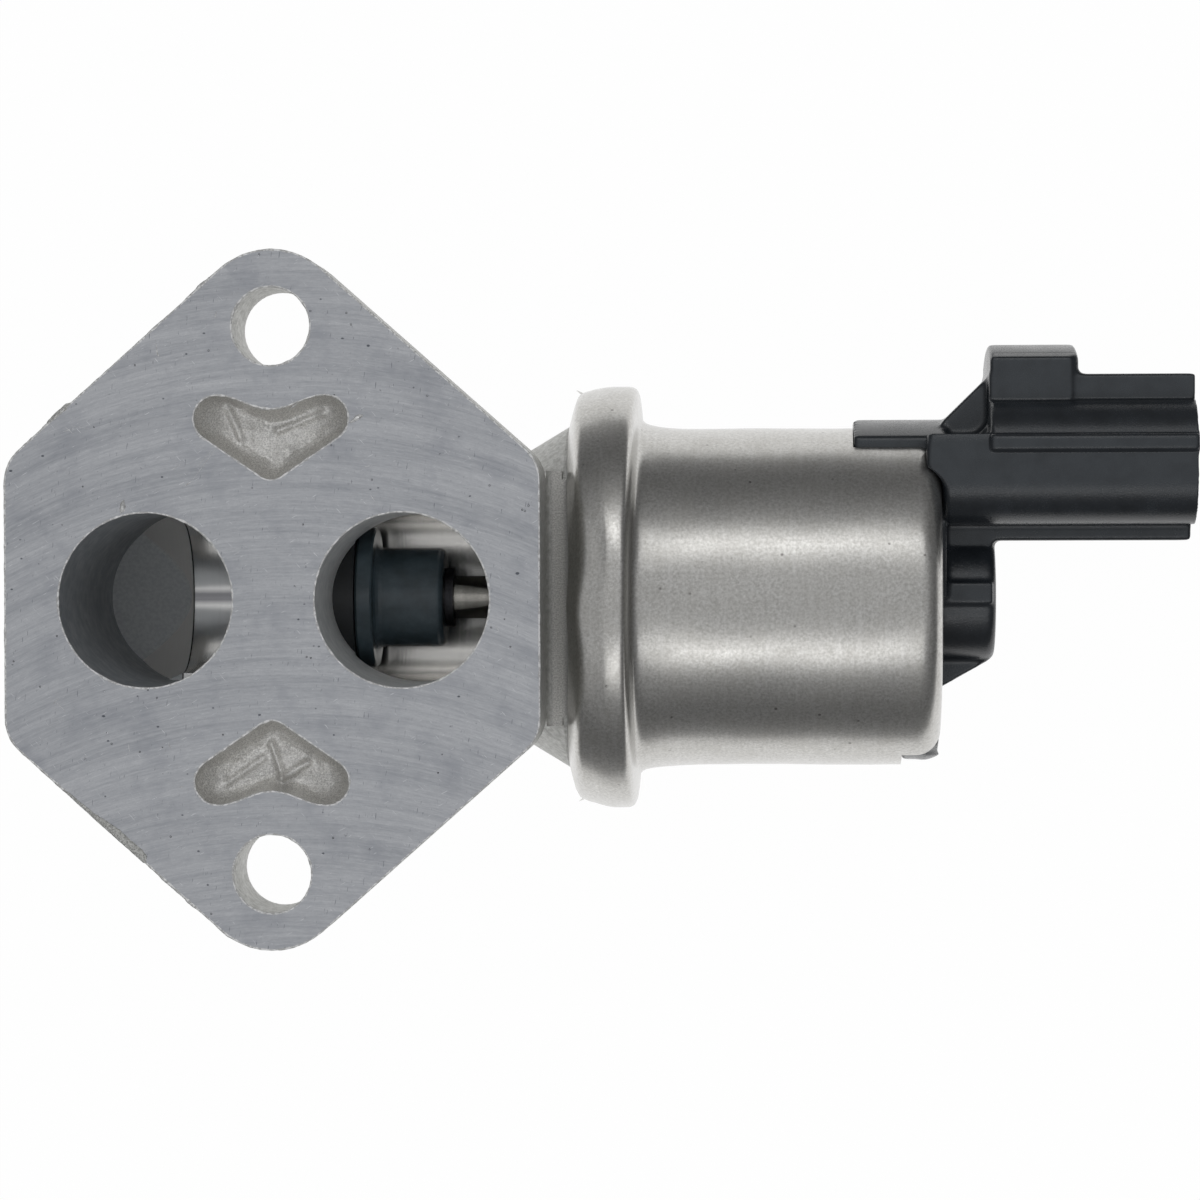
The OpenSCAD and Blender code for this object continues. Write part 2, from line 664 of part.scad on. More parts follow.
// Polished rod with a head in front of the plug
module valve_rod() {
    color([0.78, 0.77, 0.73])
        turned([[0, rod_x0], [rod_r + 0.9, rod_x0], [rod_r + 0.9, plug_x], [rod_r, plug_x],
            [rod_r, rod_x1 - 0.4], [rod_r - 0.4, rod_x1], [0, rod_x1]]);
}

// Black plug: sealing disc, blended root and hub
module valve_plug() {
    disc_x1 = plug_x + plug_disc_t;
    color([0.05, 0.06, 0.065])
        turned(concat([[rod_r + press_gap, plug_x], [plug_disc_r - 0.2, plug_x], [plug_disc_r, plug_x + 0.2],
            [plug_disc_r, disc_x1 - 0.15], [plug_disc_r - 0.15, disc_x1]],
            arc(plug_hub_r + 0.8, disc_x1 + 0.8, 0.8, 270, 180, 4),
            arc(plug_hub_r - 0.6, hub_end - 0.6, 0.6, 0, 90, 4),
            [[rod_r + press_gap, hub_end]]));
}

module plug_retainer() {
    color([0.2, 0.2, 0.2])
        ring(hub_end + stack_gap, hub_end + stack_gap + clip_t, rod_r + 0.8, rod_r + press_gap);
}

module armature() {
    color([0.52, 0.53, 0.54])
        turned([[rod_r + press_gap, armature_x0], [armature_r - 0.4, armature_x0], [armature_r, armature_x0 + 0.4],
            [armature_r, armature_x1 - 0.4], [armature_r - 0.4, armature_x1], [spring_r + wire_r + 0.3, armature_x1],
            [spring_r + wire_r + 0.3, armature_x1 - spring_pocket], [rod_r + press_gap, armature_x1 - spring_pocket]]);
}

module armature_clip() {
    color([0.2, 0.2, 0.2])
        ring(armature_x0 - stack_gap - clip_t, armature_x0 - stack_gap, rod_r + 0.9, rod_r + press_gap);
}

valve_body();
valve_seat();
body_seal_ring();
front_pole_plate();
front_bushing();
guide_tube();
coil_bobbin();
coil_winding();
fixed_core();
rear_bushing();
rear_flux_washer();
solenoid_can();
connector_housing();
terminal_pin_1();
terminal_pin_2();
return_spring();
valve_rod();
valve_plug();
plug_retainer();
armature();
armature_clip();
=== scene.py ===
import json
import math
import bpy
import bmesh
import numpy as np
from mathutils import Vector, Matrix, noise as mnoise


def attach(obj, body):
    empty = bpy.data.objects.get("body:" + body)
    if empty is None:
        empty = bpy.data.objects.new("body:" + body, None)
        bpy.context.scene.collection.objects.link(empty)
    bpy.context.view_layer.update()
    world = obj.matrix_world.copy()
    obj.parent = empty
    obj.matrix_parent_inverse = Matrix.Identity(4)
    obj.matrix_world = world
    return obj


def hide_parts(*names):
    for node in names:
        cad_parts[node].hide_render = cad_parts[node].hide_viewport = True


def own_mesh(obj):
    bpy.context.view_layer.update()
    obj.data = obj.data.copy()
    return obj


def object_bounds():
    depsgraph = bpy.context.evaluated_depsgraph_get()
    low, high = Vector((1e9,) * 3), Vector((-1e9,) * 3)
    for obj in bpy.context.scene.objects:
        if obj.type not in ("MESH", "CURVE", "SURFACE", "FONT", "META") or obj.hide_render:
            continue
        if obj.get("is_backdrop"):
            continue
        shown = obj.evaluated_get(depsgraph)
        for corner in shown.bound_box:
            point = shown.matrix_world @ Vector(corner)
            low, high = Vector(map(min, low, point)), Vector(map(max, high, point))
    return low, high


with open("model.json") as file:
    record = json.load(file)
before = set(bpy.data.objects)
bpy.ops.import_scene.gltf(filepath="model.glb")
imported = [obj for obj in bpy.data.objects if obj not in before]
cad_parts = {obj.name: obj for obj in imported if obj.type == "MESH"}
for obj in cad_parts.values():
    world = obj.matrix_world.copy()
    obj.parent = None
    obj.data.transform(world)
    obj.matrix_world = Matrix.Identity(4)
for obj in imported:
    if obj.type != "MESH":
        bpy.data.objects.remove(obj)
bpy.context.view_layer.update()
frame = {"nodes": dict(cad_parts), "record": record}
scene = bpy.context.scene
# Lengths in this script are in mm and meshes in metres. The valve's axis lies along X at AXIS_Z, under the face at Z 0
MM = 0.001
AXIS_Z = -21.0
INLET_X, OUTLET_X = -11.6, 11.95


def link(o):
    scene.collection.objects.link(o)
    return o


# A material and its node helpers: each call adds one node and returns its output socket
class Mat:
    def __init__(self, name):
        self.m = bpy.data.materials.new(name)
        self.m.use_nodes = True
        self.t = self.m.node_tree
        self.t.nodes.clear()
        self.out = self.t.nodes.new("ShaderNodeOutputMaterial")
        self.b = self.t.nodes.new("ShaderNodeBsdfPrincipled")
        self.t.links.new(self.b.outputs[0], self.out.inputs[0])
        co = self.t.nodes.new("ShaderNodeTexCoord")
        self.p = self.vec("SCALE", co.outputs["Object"], scale=1000.0)
        self.n = co.outputs["Normal"]

    def plug(self, socket, value):
        if value is None:
            return
        if isinstance(value, bpy.types.NodeSocket):
            self.t.links.new(value, socket)
        elif socket.type == "RGBA" and not isinstance(value, (int, float)):
            socket.default_value = (*value[:3], 1.0)
        else:
            socket.default_value = value

    def add(self, kind, **inputs):
        node = self.t.nodes.new(kind)
        for k, v in inputs.items():
            key = int(k[1:]) if k[0] == "i" and k[1:].isdigit() else k.replace("_", " ")
            self.plug(node.inputs[key], v)
        return node.outputs[0]

    def vec(self, op, a, b=None, scale=None):
        node = self.t.nodes.new("ShaderNodeVectorMath")
        node.operation = op
        self.plug(node.inputs[0], a)
        if b is not None:
            self.plug(node.inputs[1], b)
        if scale is not None:
            self.plug(node.inputs["Scale"], scale)
        return node.outputs[0]

    def math(self, op, a, b=None):
        node = self.t.nodes.new("ShaderNodeMath")
        node.operation = op
        self.plug(node.inputs[0], a)
        self.plug(node.inputs[1], b)
        return node.outputs[0]

    def xyz(self, v):
        node = self.t.nodes.new("ShaderNodeSeparateXYZ")
        self.plug(node.inputs[0], v)
        return node.outputs[0], node.outputs[1], node.outputs[2]

    def join(self, x, y, z):
        return self.add("ShaderNodeCombineXYZ", i0=x, i1=y, i2=z)

    def noise(self, v, scale, detail=4.0, rough=0.55):
        return self.add("ShaderNodeTexNoise", Vector=v, Scale=scale, Detail=detail, Roughness=rough)

    def voronoi(self, v, scale):
        return self.add("ShaderNodeTexVoronoi", Vector=v, Scale=scale)

    def map(self, v, a, b, c=0.0, d=1.0, smooth=False):
        node = self.t.nodes.new("ShaderNodeMapRange")
        node.interpolation_type = "SMOOTHSTEP" if smooth else "LINEAR"
        for i, x in enumerate((v, a, b, c, d)):
            self.plug(node.inputs[i], x)
        return node.outputs[0]

    def mixc(self, f, a, b):
        node = self.t.nodes.new("ShaderNodeMix")
        node.data_type = "RGBA"
        self.plug(node.inputs[0], f)
        self.plug(node.inputs[6], a)
        self.plug(node.inputs[7], b)
        return node.outputs[2]

    def mixf(self, f, a, b):
        node = self.t.nodes.new("ShaderNodeMix")
        self.plug(node.inputs[0], f)
        self.plug(node.inputs[2], a)
        self.plug(node.inputs[3], b)
        return node.outputs[0]

    def bump(self, height, distance):
        return self.add("ShaderNodeBump", Strength=1.0, Distance=distance * MM, Height=height)

    # Weighted sum of sockets, product of masks, and distance from an axis
    def total(self, *parts):
        terms = [self.math("MULTIPLY", socket, share) for socket, share in parts]
        while len(terms) > 1:
            last = terms.pop()
            terms[-1] = self.math("ADD", terms[-1], last)
        return terms[0]

    def both(self, first, *masks):
        for mask in masks:
            first = self.math("MULTIPLY", first, mask)
        return first

    def radius(self, a, b):
        return self.math("SQRT", self.total((a, a), (b, b)))

    def shade(self, **inputs):
        for k, v in inputs.items():
            self.plug(self.b.inputs[k.replace("_", " ")], v)
        return self.m


# Radius and middle of the large mill that cut the face
CUTTER_R, CUTTER_X = 57.0, 2.0
# Scratches across its marks: turn, scale, level, tone and seed
SCRATCHES = (
    (0.5, 0.8, 0.70, (0.85, 0.86, 0.88), 4.0),
    (2.3, 0.7, 0.71, (0.85, 0.86, 0.88), 9.0),
    (1.45, 1.0, 0.69, (0.16, 0.17, 0.20), 2.0),
)
# Where a port's wall ends, from outside in, and where the passage's step lies
PORT_EDGE = (8.12, 8.06)
PASSAGE_STEP_X = -11.45
# Level of the land between flange and can
LAND_Z = -9.0


# Milled face: feed marks, which are one arc moved along Y, with stains, short scratches and small pits
def milled_face(k, x, y):
    dx = k.math("SUBTRACT", x, CUTTER_X)
    sweep = k.math("SQRT", k.math("SUBTRACT", CUTTER_R ** 2, k.math("MULTIPLY", dx, dx)))
    feed = k.math("SUBTRACT", y, sweep)
    along = k.math("MULTIPLY", x, 0.035)
    wide = k.noise(k.join(feed, along, 0.0), 0.55, 3.0, 0.6)
    fine = k.noise(k.join(feed, along, 0.0), 3.2, 4.0, 0.62)
    hair = k.noise(k.join(feed, k.math("MULTIPLY", x, 0.12), 3.0), 9.0, 3.0, 0.6)
    marks = k.total((wide, 0.4), (fine, 0.4), (hair, 0.3))
    grain = k.noise(k.p, 5.0, 4.0, 0.7)
    stain = k.noise(k.p, 0.23, 3.0, 0.6)
    colour = k.mixc(k.map(marks, 0.38, 0.70), (0.41, 0.425, 0.455), (0.68, 0.69, 0.71))
    colour = k.mixc(k.map(grain, 0.35, 0.75, 0.0, 0.35), colour, (0.42, 0.43, 0.45))
    colour = k.mixc(k.map(stain, 0.5, 0.72, 0.0, 0.45), colour, (0.33, 0.345, 0.385))
    for turn, scale, level, tone, seed in SCRATCHES:
        u = k.total((x, math.cos(turn)), (y, math.sin(turn)))
        v = k.total((y, math.cos(turn)), (x, -math.sin(turn)))
        line = k.noise(k.join(k.math("MULTIPLY", u, scale), k.math("MULTIPLY", v, 8.0), seed), 1.0, 2.0, 0.5)
        colour = k.mixc(k.map(line, level, level + 0.03, 0.0, 0.7), colour, tone)
    pits = k.voronoi(k.vec("MULTIPLY", k.p, (1.0, 1.5, 1.0)), 0.75)
    few = k.noise(k.p, 0.55, 2.0)
    size = k.map(few, 0.58, 0.75, 0.0, 0.1)
    pit = k.both(k.map(k.math("SUBTRACT", pits, size), 0.10, 0.05), k.map(few, 0.57, 0.61))
    colour = k.mixc(k.math("MULTIPLY", pit, 0.8), colour, (0.06, 0.07, 0.09))
    glint = k.both(k.map(k.voronoi(k.p, 0.9), 0.09, 0.05), k.map(k.noise(k.p, 0.5, 2.0), 0.55, 0.6))
    return colour, marks, glint


# Aluminium: milled face with arc marks, machined ports and passage, and cast skin elsewhere
def aluminium():
    k = Mat("cast_aluminium")
    x, y, z = k.xyz(k.p)
    nx, _, nz = k.xyz(k.n)
    flat = k.map(nz, 0.9, 0.97)
    face = k.both(k.map(z, -0.12, -0.02), flat)
    milled, marks, glint = milled_face(k, x, y)
    # Cast skin: fine blotched grain, silvery in the two pockets
    skin = k.noise(k.p, 1.9, 5.0, 0.65)
    skin2 = k.noise(k.p, 7.0, 3.0, 0.7)
    cast = k.mixc(k.map(skin, 0.35, 0.7), (0.50, 0.50, 0.475), (0.74, 0.74, 0.715))
    cast = k.mixc(k.map(skin2, 0.62, 0.72, 0.0, 0.6), cast, (0.86, 0.86, 0.84))
    side = k.math("ABSOLUTE", y)
    hollow = k.both(k.map(z, -0.10, -0.30), k.map(z, -3.9, -3.7), k.map(k.math("ABSOLUTE", x), 8.1, 8.0),
                    k.map(side, 10.2, 10.3), k.map(side, 19.6, 19.5))
    silver = k.mixc(k.map(skin2, 0.40, 0.62), (0.56, 0.55, 0.53), (0.93, 0.92, 0.89))
    cast = k.mixc(hollow, cast, silver)
    # Land between the flange and the can: its cast grain, with painted shade darkening its corners and a painted
    # highlight across its middle
    land = k.both(k.map(k.math("ABSOLUTE", k.math("ADD", z, -LAND_Z)), 0.3, 0.2), flat)
    land_painted_light = k.both(k.map(x, 24.6, 25.3, 0.0, 1.0, True), k.map(x, 26.9, 26.0, 0.0, 1.0, True))
    painted_land_highlight = k.mixc(k.map(skin2, 0.4, 0.62), (0.50, 0.49, 0.47), (0.78, 0.77, 0.74))
    cast = k.mixc(land, cast, k.mixc(land_painted_light, (0.24, 0.24, 0.235), painted_land_highlight))
    # Bored passage and chamber, told by the distance from the axis, with a dark reflection line painted along the
    # passage's bottom and a shadow line painted at the step where the bore ends
    rad = k.radius(y, k.math("SUBTRACT", z, AXIS_Z))
    bored = k.both(k.map(rad, 8.6, 8.5), k.map(k.math("ABSOLUTE", nx), 0.3, 0.2),
                   k.map(x, -11.55, -11.5), k.map(z, -8.5, -9.0))
    turned = k.noise(k.join(x, k.math("MULTIPLY", rad, 0.2), 0.0), 4.0, 4.0, 0.65)
    polished = k.mixc(turned, (0.82, 0.81, 0.79), (0.99, 0.98, 0.96))
    # Painted reflection: a dark line along the middle of the passage's bottom
    painted_reflection_line = k.both(k.map(side, 0.3, 0.85, 1.0, 0.0), k.map(z, -27.0, -27.6))
    polished = k.mixc(k.math("MULTIPLY", painted_reflection_line, 0.8), polished, (0.14, 0.14, 0.16))
    # Painted shadow: a near-black line along the small step where the bore ends
    painted_step_shadow = k.both(k.map(k.math("ABSOLUTE", k.math("SUBTRACT", x, PASSAGE_STEP_X)), 0.09, 0.05),
                  k.map(z, -9.0, -10.0), k.map(rad, 8.7, 8.6))
    # Drilled ports: the inlet's wall, painted darker as shade, its floor disc and cone, and the outlet's wall of the
    # same metal, painted lighter as lit
    below = k.map(z, -0.1, -0.3)
    inlet, outlet = (k.both(k.map(k.radius(k.math("SUBTRACT", x, middle), y), *PORT_EDGE), below)
                     for middle in (INLET_X, OUTLET_X))
    blot = k.map(k.noise(k.p, 0.8, 4.0, 0.6), 0.4, 0.7)
    wall = k.mixc(blot, (0.35, 0.375, 0.40), (0.50, 0.515, 0.53))
    disc = k.mixc(k.map(k.noise(k.p, 3.0, 4.0, 0.6), 0.4, 0.6), (0.68, 0.70, 0.71), (0.78, 0.80, 0.805))
    cone = k.mixc(turned, (0.92, 0.89, 0.85), (0.99, 0.97, 0.93))
    sloped = k.both(k.map(k.math("MULTIPLY", nx, -1.0), 0.2, 0.3), k.map(z, -9.5, -10.0))
    inside = k.mixc(sloped, k.mixc(flat, wall, disc), cone)
    outlet_wall_lit = k.mixc(blot, (0.74, 0.75, 0.75), (0.92, 0.92, 0.91))
    colour = k.mixc(face, cast, milled)
    for mask, tone in ((outlet, outlet_wall_lit), (inlet, inside), (bored, polished), (painted_step_shadow, (0.03, 0.03, 0.03))):
        colour = k.mixc(mask, colour, tone)
    machined = k.math("MAXIMUM", inlet, k.math("MAXIMUM", outlet, bored))
    rough = k.mixf(face, k.map(skin, 0.3, 0.7, 0.55, 0.38), k.map(marks, 0.35, 0.7, 0.5, 0.36))
    rough = k.mixf(machined, rough, k.mixf(bored, 0.42, 0.17))
    rough = k.mixf(k.both(glint, face), rough, 0.15)
    rough = k.mixf(hollow, rough, 0.36)
    height = k.mixf(face, k.total((skin, 0.7), (skin2, 0.3)), k.total((marks, 0.14), (glint, 0.5)))
    height = k.mixf(machined, height, k.math("MULTIPLY", turned, 0.04))
    deep = k.both(inlet, k.math("MAXIMUM", flat, sloped))
    shell = k.mixf(face, k.mixf(hollow, k.mixf(land, 0.55, 0.15), 0.85), 0.92)
    metallic = k.mixf(machined, shell, k.mixf(bored, k.mixf(deep, 0.35, 0.0), 0.95))
    return k.shade(Base_Color=colour, Metallic=metallic, Roughness=rough, Normal=k.bump(height, 0.16))


# Torn metal along machined edges: lighter than the face, with near-white spots painted as glints
def burr_glint_metal():
    k = Mat("burr_glint_metal")
    n = k.noise(k.p, 2.4, 4.0, 0.65)
    c = k.mixc(k.map(n, 0.46, 0.58), (0.55, 0.55, 0.54), (0.98, 0.98, 0.97))
    return k.shade(Base_Color=c, Metallic=0.2, Roughness=k.map(n, 0.35, 0.65, 0.42, 0.2), Normal=k.bump(n, 0.05))


# Rough cast metal of the gate's rest: light grains on grey
def rough_metal():
    k = Mat("rough_metal")
    n = k.noise(k.p, 5.0, 4.0, 0.7)
    c = k.mixc(k.map(n, 0.40, 0.62), (0.42, 0.42, 0.40), (0.78, 0.78, 0.75))
    return k.shade(Base_Color=c, Metallic=0.35, Roughness=0.45, Normal=k.bump(n, 0.12))


# Drawn steel can: satin with fine speckle, drawing marks round it and a thin film of oil
def can_steel():
    k = Mat("can_steel")
    x, y, z = k.xyz(k.p)
    speck = k.noise(k.p, 3.6, 6.0, 0.72)
    fine = k.noise(k.p, 11.0, 3.0, 0.7)
    blot = k.noise(k.p, 0.35, 3.0, 0.6)
    ring = k.noise(k.join(x, k.math("MULTIPLY", y, 0.06), k.math("MULTIPLY", z, 0.06)), 2.2, 4.0, 0.6)
    c = k.mixc(k.map(speck, 0.36, 0.66), (0.42, 0.41, 0.385), (0.68, 0.67, 0.645))
    c = k.mixc(k.map(blot, 0.4, 0.7, 0.0, 0.35), c, (0.47, 0.455, 0.42))
    c = k.mixc(k.map(ring, 0.5, 0.75, 0.0, 0.3), c, (0.70, 0.69, 0.67))
    c = k.mixc(k.map(fine, 0.66, 0.72, 0.0, 0.6), c, (0.20, 0.19, 0.175))
    dark = k.both(k.map(k.voronoi(k.p, 0.6), 0.11, 0.07), k.map(k.noise(k.p, 0.6, 2.0), 0.5, 0.6))
    c = k.mixc(k.math("MULTIPLY", dark, 0.7), c, (0.12, 0.11, 0.10))
    r = k.math("ADD", k.map(speck, 0.3, 0.7, 0.31, 0.28), k.map(blot, 0.4, 0.7, -0.01, 0.02))
    height = k.total((speck, 0.6), (fine, 0.3))
    return k.shade(Base_Color=c, Metallic=0.97, Roughness=r, Coat_Weight=0.5, Coat_Roughness=0.15,
                   Normal=k.bump(height, 0.01))


# Moulded plastic and rubber: faint clouds, dust and grain, and, where top is given, faces turned up painted lighter as
# lit from above
def plastic(name, colour, rough, bump=0.02, top=None):
    k = Mat(name)
    cloud = k.noise(k.p, 0.35, 4.0, 0.6)
    grain = k.noise(k.p, 7.0, 3.0, 0.65)
    dust = k.noise(k.p, 13.0, 3.0, 0.7)
    c = k.mixc(k.map(cloud, 0.35, 0.7), tuple(v * 0.8 for v in colour), tuple(v * 1.3 for v in colour))
    if top:
        # Painted light: faces turned up take the lighter top colour, in patches
        painted_top_light = k.both(k.map(k.xyz(k.n)[2], 0.90, 0.99), k.map(k.noise(k.p, 0.5, 3.0), 0.3, 0.6, 0.6, 1.0))
        c = k.mixc(painted_top_light, c, top)
    c = k.mixc(k.map(dust, 0.70, 0.76, 0.0, 0.5), c, tuple(min(1, v * 5 + 0.03) for v in colour))
    r = k.math("ADD", k.map(grain, 0.3, 0.7, rough - 0.03, rough + 0.04), k.map(cloud, 0.4, 0.65, -0.03, 0.04))
    return k.shade(Base_Color=c, Roughness=r, Specular_IOR_Level=0.5, Normal=k.bump(grain, bump))


# Turned or drawn metal: rings along X and fine specks
def metal(name, low, high, rough, scale=2.0, metallic=1.0):
    k = Mat(name)
    x, y, z = k.xyz(k.p)
    rings = k.noise(k.join(x, k.math("MULTIPLY", y, 0.15), k.math("MULTIPLY", z, 0.15)), scale, 4.0, 0.6)
    speck = k.noise(k.p, 6.0, 4.0, 0.65)
    f = k.total((rings, 0.6), (speck, 0.4))
    c = k.mixc(k.map(f, 0.38, 0.66), low, high)
    return k.shade(Base_Color=c, Metallic=metallic, Roughness=k.map(f, 0.3, 0.7, rough + 0.04, rough - 0.04),
                   Normal=k.bump(f, 0.01))


PLASTICS = (
    # The last colour of black_plastic is its painted lighter tone on faces turned up
    ("black_plastic", (0.020, 0.024, 0.029), 0.24, 0.02, (0.046, 0.054, 0.062)),
    ("plug_black", (0.070, 0.098, 0.115), 0.2, 0.006),
    ("seat_black", (0.013, 0.015, 0.017), 0.34, 0.01),
    ("seal_rubber", (0.02, 0.02, 0.02), 0.6, 0.01),
    ("bobbin_plastic", (0.03, 0.03, 0.032), 0.45, 0.01),
)
METALS = (
    ("rod_steel", (0.26, 0.25, 0.23), (0.48, 0.46, 0.42), 0.18, 1.2),
    ("pole_iron", (0.30, 0.31, 0.32), (0.46, 0.47, 0.48), 0.38),
    ("bushing_bronze", (0.38, 0.25, 0.12), (0.58, 0.42, 0.22), 0.35),
    ("tube_steel", (0.5, 0.49, 0.45), (0.68, 0.66, 0.6), 0.3),
    ("copper_wire", (0.36, 0.12, 0.05), (0.62, 0.27, 0.11), 0.32, 3.0, 0.9),
    ("pin_tin", (0.55, 0.54, 0.5), (0.74, 0.73, 0.69), 0.25),
    ("spring_steel", (0.36, 0.36, 0.38), (0.5, 0.5, 0.52), 0.28),
    ("clip_black_steel", (0.04, 0.04, 0.045), (0.08, 0.08, 0.085), 0.4),
)
MATS = {"cast_aluminium": aluminium(), "can_steel": can_steel()}
MATS.update((row[0], plastic(*row)) for row in PLASTICS)
MATS.update((row[0], metal(*row)) for row in METALS)
BURR_GLINT, ROUGH = burr_glint_metal(), rough_metal()
SLOTS = {r["node"]: r["material_slot"] for r in frame["record"]["subparts"]}
for n, o in frame["nodes"].items():
    for i in range(len(o.material_slots)):
        o.material_slots[i].material = MATS[SLOTS[n]]


# A node's shape with its vertices welded
def welded(node):
    me = frame["nodes"][node].data.copy()
    if "custom_normal" in me.attributes:
        me.attributes.remove(me.attributes["custom_normal"])
    bm = bmesh.new()
    bm.from_mesh(me)
    bpy.data.meshes.remove(me)
    bmesh.ops.remove_doubles(bm, verts=bm.verts, dist=1.5e-6)
    bmesh.ops.recalc_face_normals(bm, faces=bm.faces)
    return bm


# A finished mesh as a piece of the valve body, standing for a node where one is named
def place(name, me, slot, node=None, material=None):
    me.materials.clear()
    me.materials.append(material or MATS[slot])
    o = link(bpy.data.objects.new(name, me))
    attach(o, "valve")
    if node:
        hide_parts(node)
    return o


# A piece from points in mm
def piece(name, verts, faces, slot, material=None, smooth=True):
    me = bpy.data.meshes.new(name)
    me.from_pydata([tuple(c * MM for c in v) for v in verts], [], faces)
    me.update()
    bm = bmesh.new()
    bm.from_mesh(me)
    bmesh.ops.recalc_face_normals(bm, faces=bm.faces)
    for f in bm.faces:
        f.smooth = smooth
    bm.to_mesh(me)
    bm.free()
    return place(name, me, slot, material=material)


# A copy of an object's mesh with its modifiers applied
def applied(o):
    return bpy.data.meshes.new_from_object(o.evaluated_get(bpy.context.evaluated_depsgraph_get()))


# A node remade with a fine even mesh, so that its edges are rounded as moulded and drawn edges are
def rounded(node, name, voxel, passes, shape):
    me = bpy.data.meshes.new(name + "_base")
    bm = welded(node)
    bm.to_mesh(me)
    bm.free()
    temp = link(bpy.data.objects.new(name + "_base", me))
    mod = temp.modifiers.new("even", "REMESH")
    mod.mode = "VOXEL"
    mod.voxel_size = voxel * MM
    new = applied(temp)
    bpy.data.objects.remove(temp)
    new.name = name
    n = len(new.vertices)
    co = np.empty(n * 3)
    new.vertices.foreach_get("co", co)
    co = co.reshape(-1, 3) / MM
    ed = np.empty(len(new.edges) * 2, int)
    new.edges.foreach_get("vertices", ed)
    ed = ed.reshape(-1, 2)
    count = np.bincount(ed.ravel(), minlength=n).astype(float)[:, None]
    a, b = ed[:, 0], ed[:, 1]
    for step in range(passes):
        around = [np.bincount(a, co[b, c], n) + np.bincount(b, co[a, c], n) for c in range(3)]
        co = co * 0.5 + 0.5 * np.stack(around, 1) / count
    co = shape(co)
    new.vertices.foreach_set("co", (co * MM).ravel())
    new.polygons.foreach_set("use_smooth", np.ones(len(new.polygons), bool))
    new.update()
    return place(name, new, SLOTS[node], node=node)


def smoothstep(v, a, b):
    t = np.clip((v - a) / (b - a), 0, 1)
    return t * t * (3 - 2 * t)


# Points (radius, x) of an arc round (radius, x) = (cr, cx), its angles in degrees
def arc(cr, cx, r, a0, a1, n):
    angles = (math.radians(a0 + (a1 - a0) * k / n) for k in range(n + 1))
    return [(cr + r * math.cos(a), cx + r * math.sin(a)) for a in angles]


# Can's wall in section, as (radius, x): the crimped lip, the rim, the wall and the end, then back inside
CAN_OUTER = [
    (16.4, 26.2), (17.0, 26.33), (17.7, 26.5), (18.5, 26.7), *arc(18.75, 27.75, 0.95, 300, 345, 4),
    (19.78, 27.95), (19.92, 28.4), (20.04, 29.0), (20.13, 29.6), (20.19, 30.3), (20.2, 31.0),
    *arc(19.55, 31.62, 0.65, 0, 62, 6),
    (19.5, 32.36), (18.9, 32.46), (18.1, 32.54), (17.3, 32.62), (16.95, 32.74), (16.72, 32.95), (16.57, 33.3),
    (16.47, 33.8), (16.36, 34.5), (16.25, 35.6), (16.16, 37.0), (16.1, 39.0),
    *((16.1, x) for x in range(41, 59, 2)), *arc(13.8, 59.1, 2.3, 0, 90, 9), (12.0, 61.4), (10.5, 61.4),
]
CAN_INNER = [
    (10.4, 61.3), (10.4, 60.2), *arc(13.8, 59.1, 1.1, 90, 0, 5), *((14.9, x) for x in range(57, 33, -4)),
    (14.9, 32.0), (15.5, 31.4), (19.0, 31.4), (19.0, 28.55), (18.3, 27.95), (16.4, 27.45),
]
# Boxes that cut the slots of the two keys
SLOT_BOXES = (
    ((53.2, 2.0, AXIS_Z - 7.8), (63.0, 19.0, AXIS_Z + 7.8)),
    ((57.75, -19.0, AXIS_Z - 6.1), (63.0, -3.0, AXIS_Z + 6.1)),
)
BOX_FACES = ((0, 1, 3, 2), (4, 6, 7, 5), (0, 4, 5, 1), (2, 3, 7, 6), (0, 2, 6, 4), (1, 5, 7, 3))


# Can: turned from its section, crimped unevenly round the casting
def turned_can(turns):
    section = np.array(CAN_OUTER + CAN_INNER)
    a = np.linspace(0, 2 * math.pi, turns, endpoint=False)[:, None]
    r, x = section[None, :, 0] + 0 * a, section[None, :, 1] + 0 * a
    front = np.where(a > math.pi, a - 2 * math.pi, a)
    up = np.sin(front)
    # The lip is set back in front, with one soft fold, and the shoulder wanders a little
    near = 1 - smoothstep(x, 28.4, 31.2)
    back = (0.75 + 0.19 * (r - 16.4)) * np.exp(-(front / 0.8) ** 2)
    fold = -(0.25 + 0.11 * (r - 16.4)) * np.exp(-((front + 0.05) / 0.17) ** 2)
    low = np.where(up < 0, 0.62 * smoothstep(-up, 0.75, 1.0) * smoothstep(r, 18.9, 19.8), 0)
    wave = 0.07 * np.sin(5 * a + 1.1) + 0.04 * np.sin(9 * a)
    wander = (0.30 * up ** 2 + 0.14 * up) * smoothstep(x, 31.0, 32.2) * (1 - smoothstep(x, 34.0, 38.0))
    wander *= smoothstep(r, 16.2, 16.6)
    x = x + near * (back + fold + low + wave * smoothstep(r, 17.5, 19.5)) + wander
    swell = 0.03 * np.sin(3 * a + x * 0.21) + 0.02 * np.sin(7 * a - x * 0.5) + 0.012 * np.sin(17 * a + x * 1.3)
    r = r + smoothstep(r, 15.6, 15.9) * smoothstep(x, 28.0, 30.0) * swell
    n = len(section)
    y, z = r * np.sin(a), AXIS_Z + r * np.cos(a)
    verts = np.stack([x, y, z], 2).reshape(-1, 3)
    faces = []
    for i in range(turns):
        j = (i + 1) % turns
        for k in range(n):
            m = (k + 1) % n
            faces.append((i * n + k, j * n + k, j * n + m, i * n + m))
    me = bpy.data.meshes.new("can_base")
    me.from_pydata([tuple(c * MM for c in v) for v in verts], [], faces)
    return me


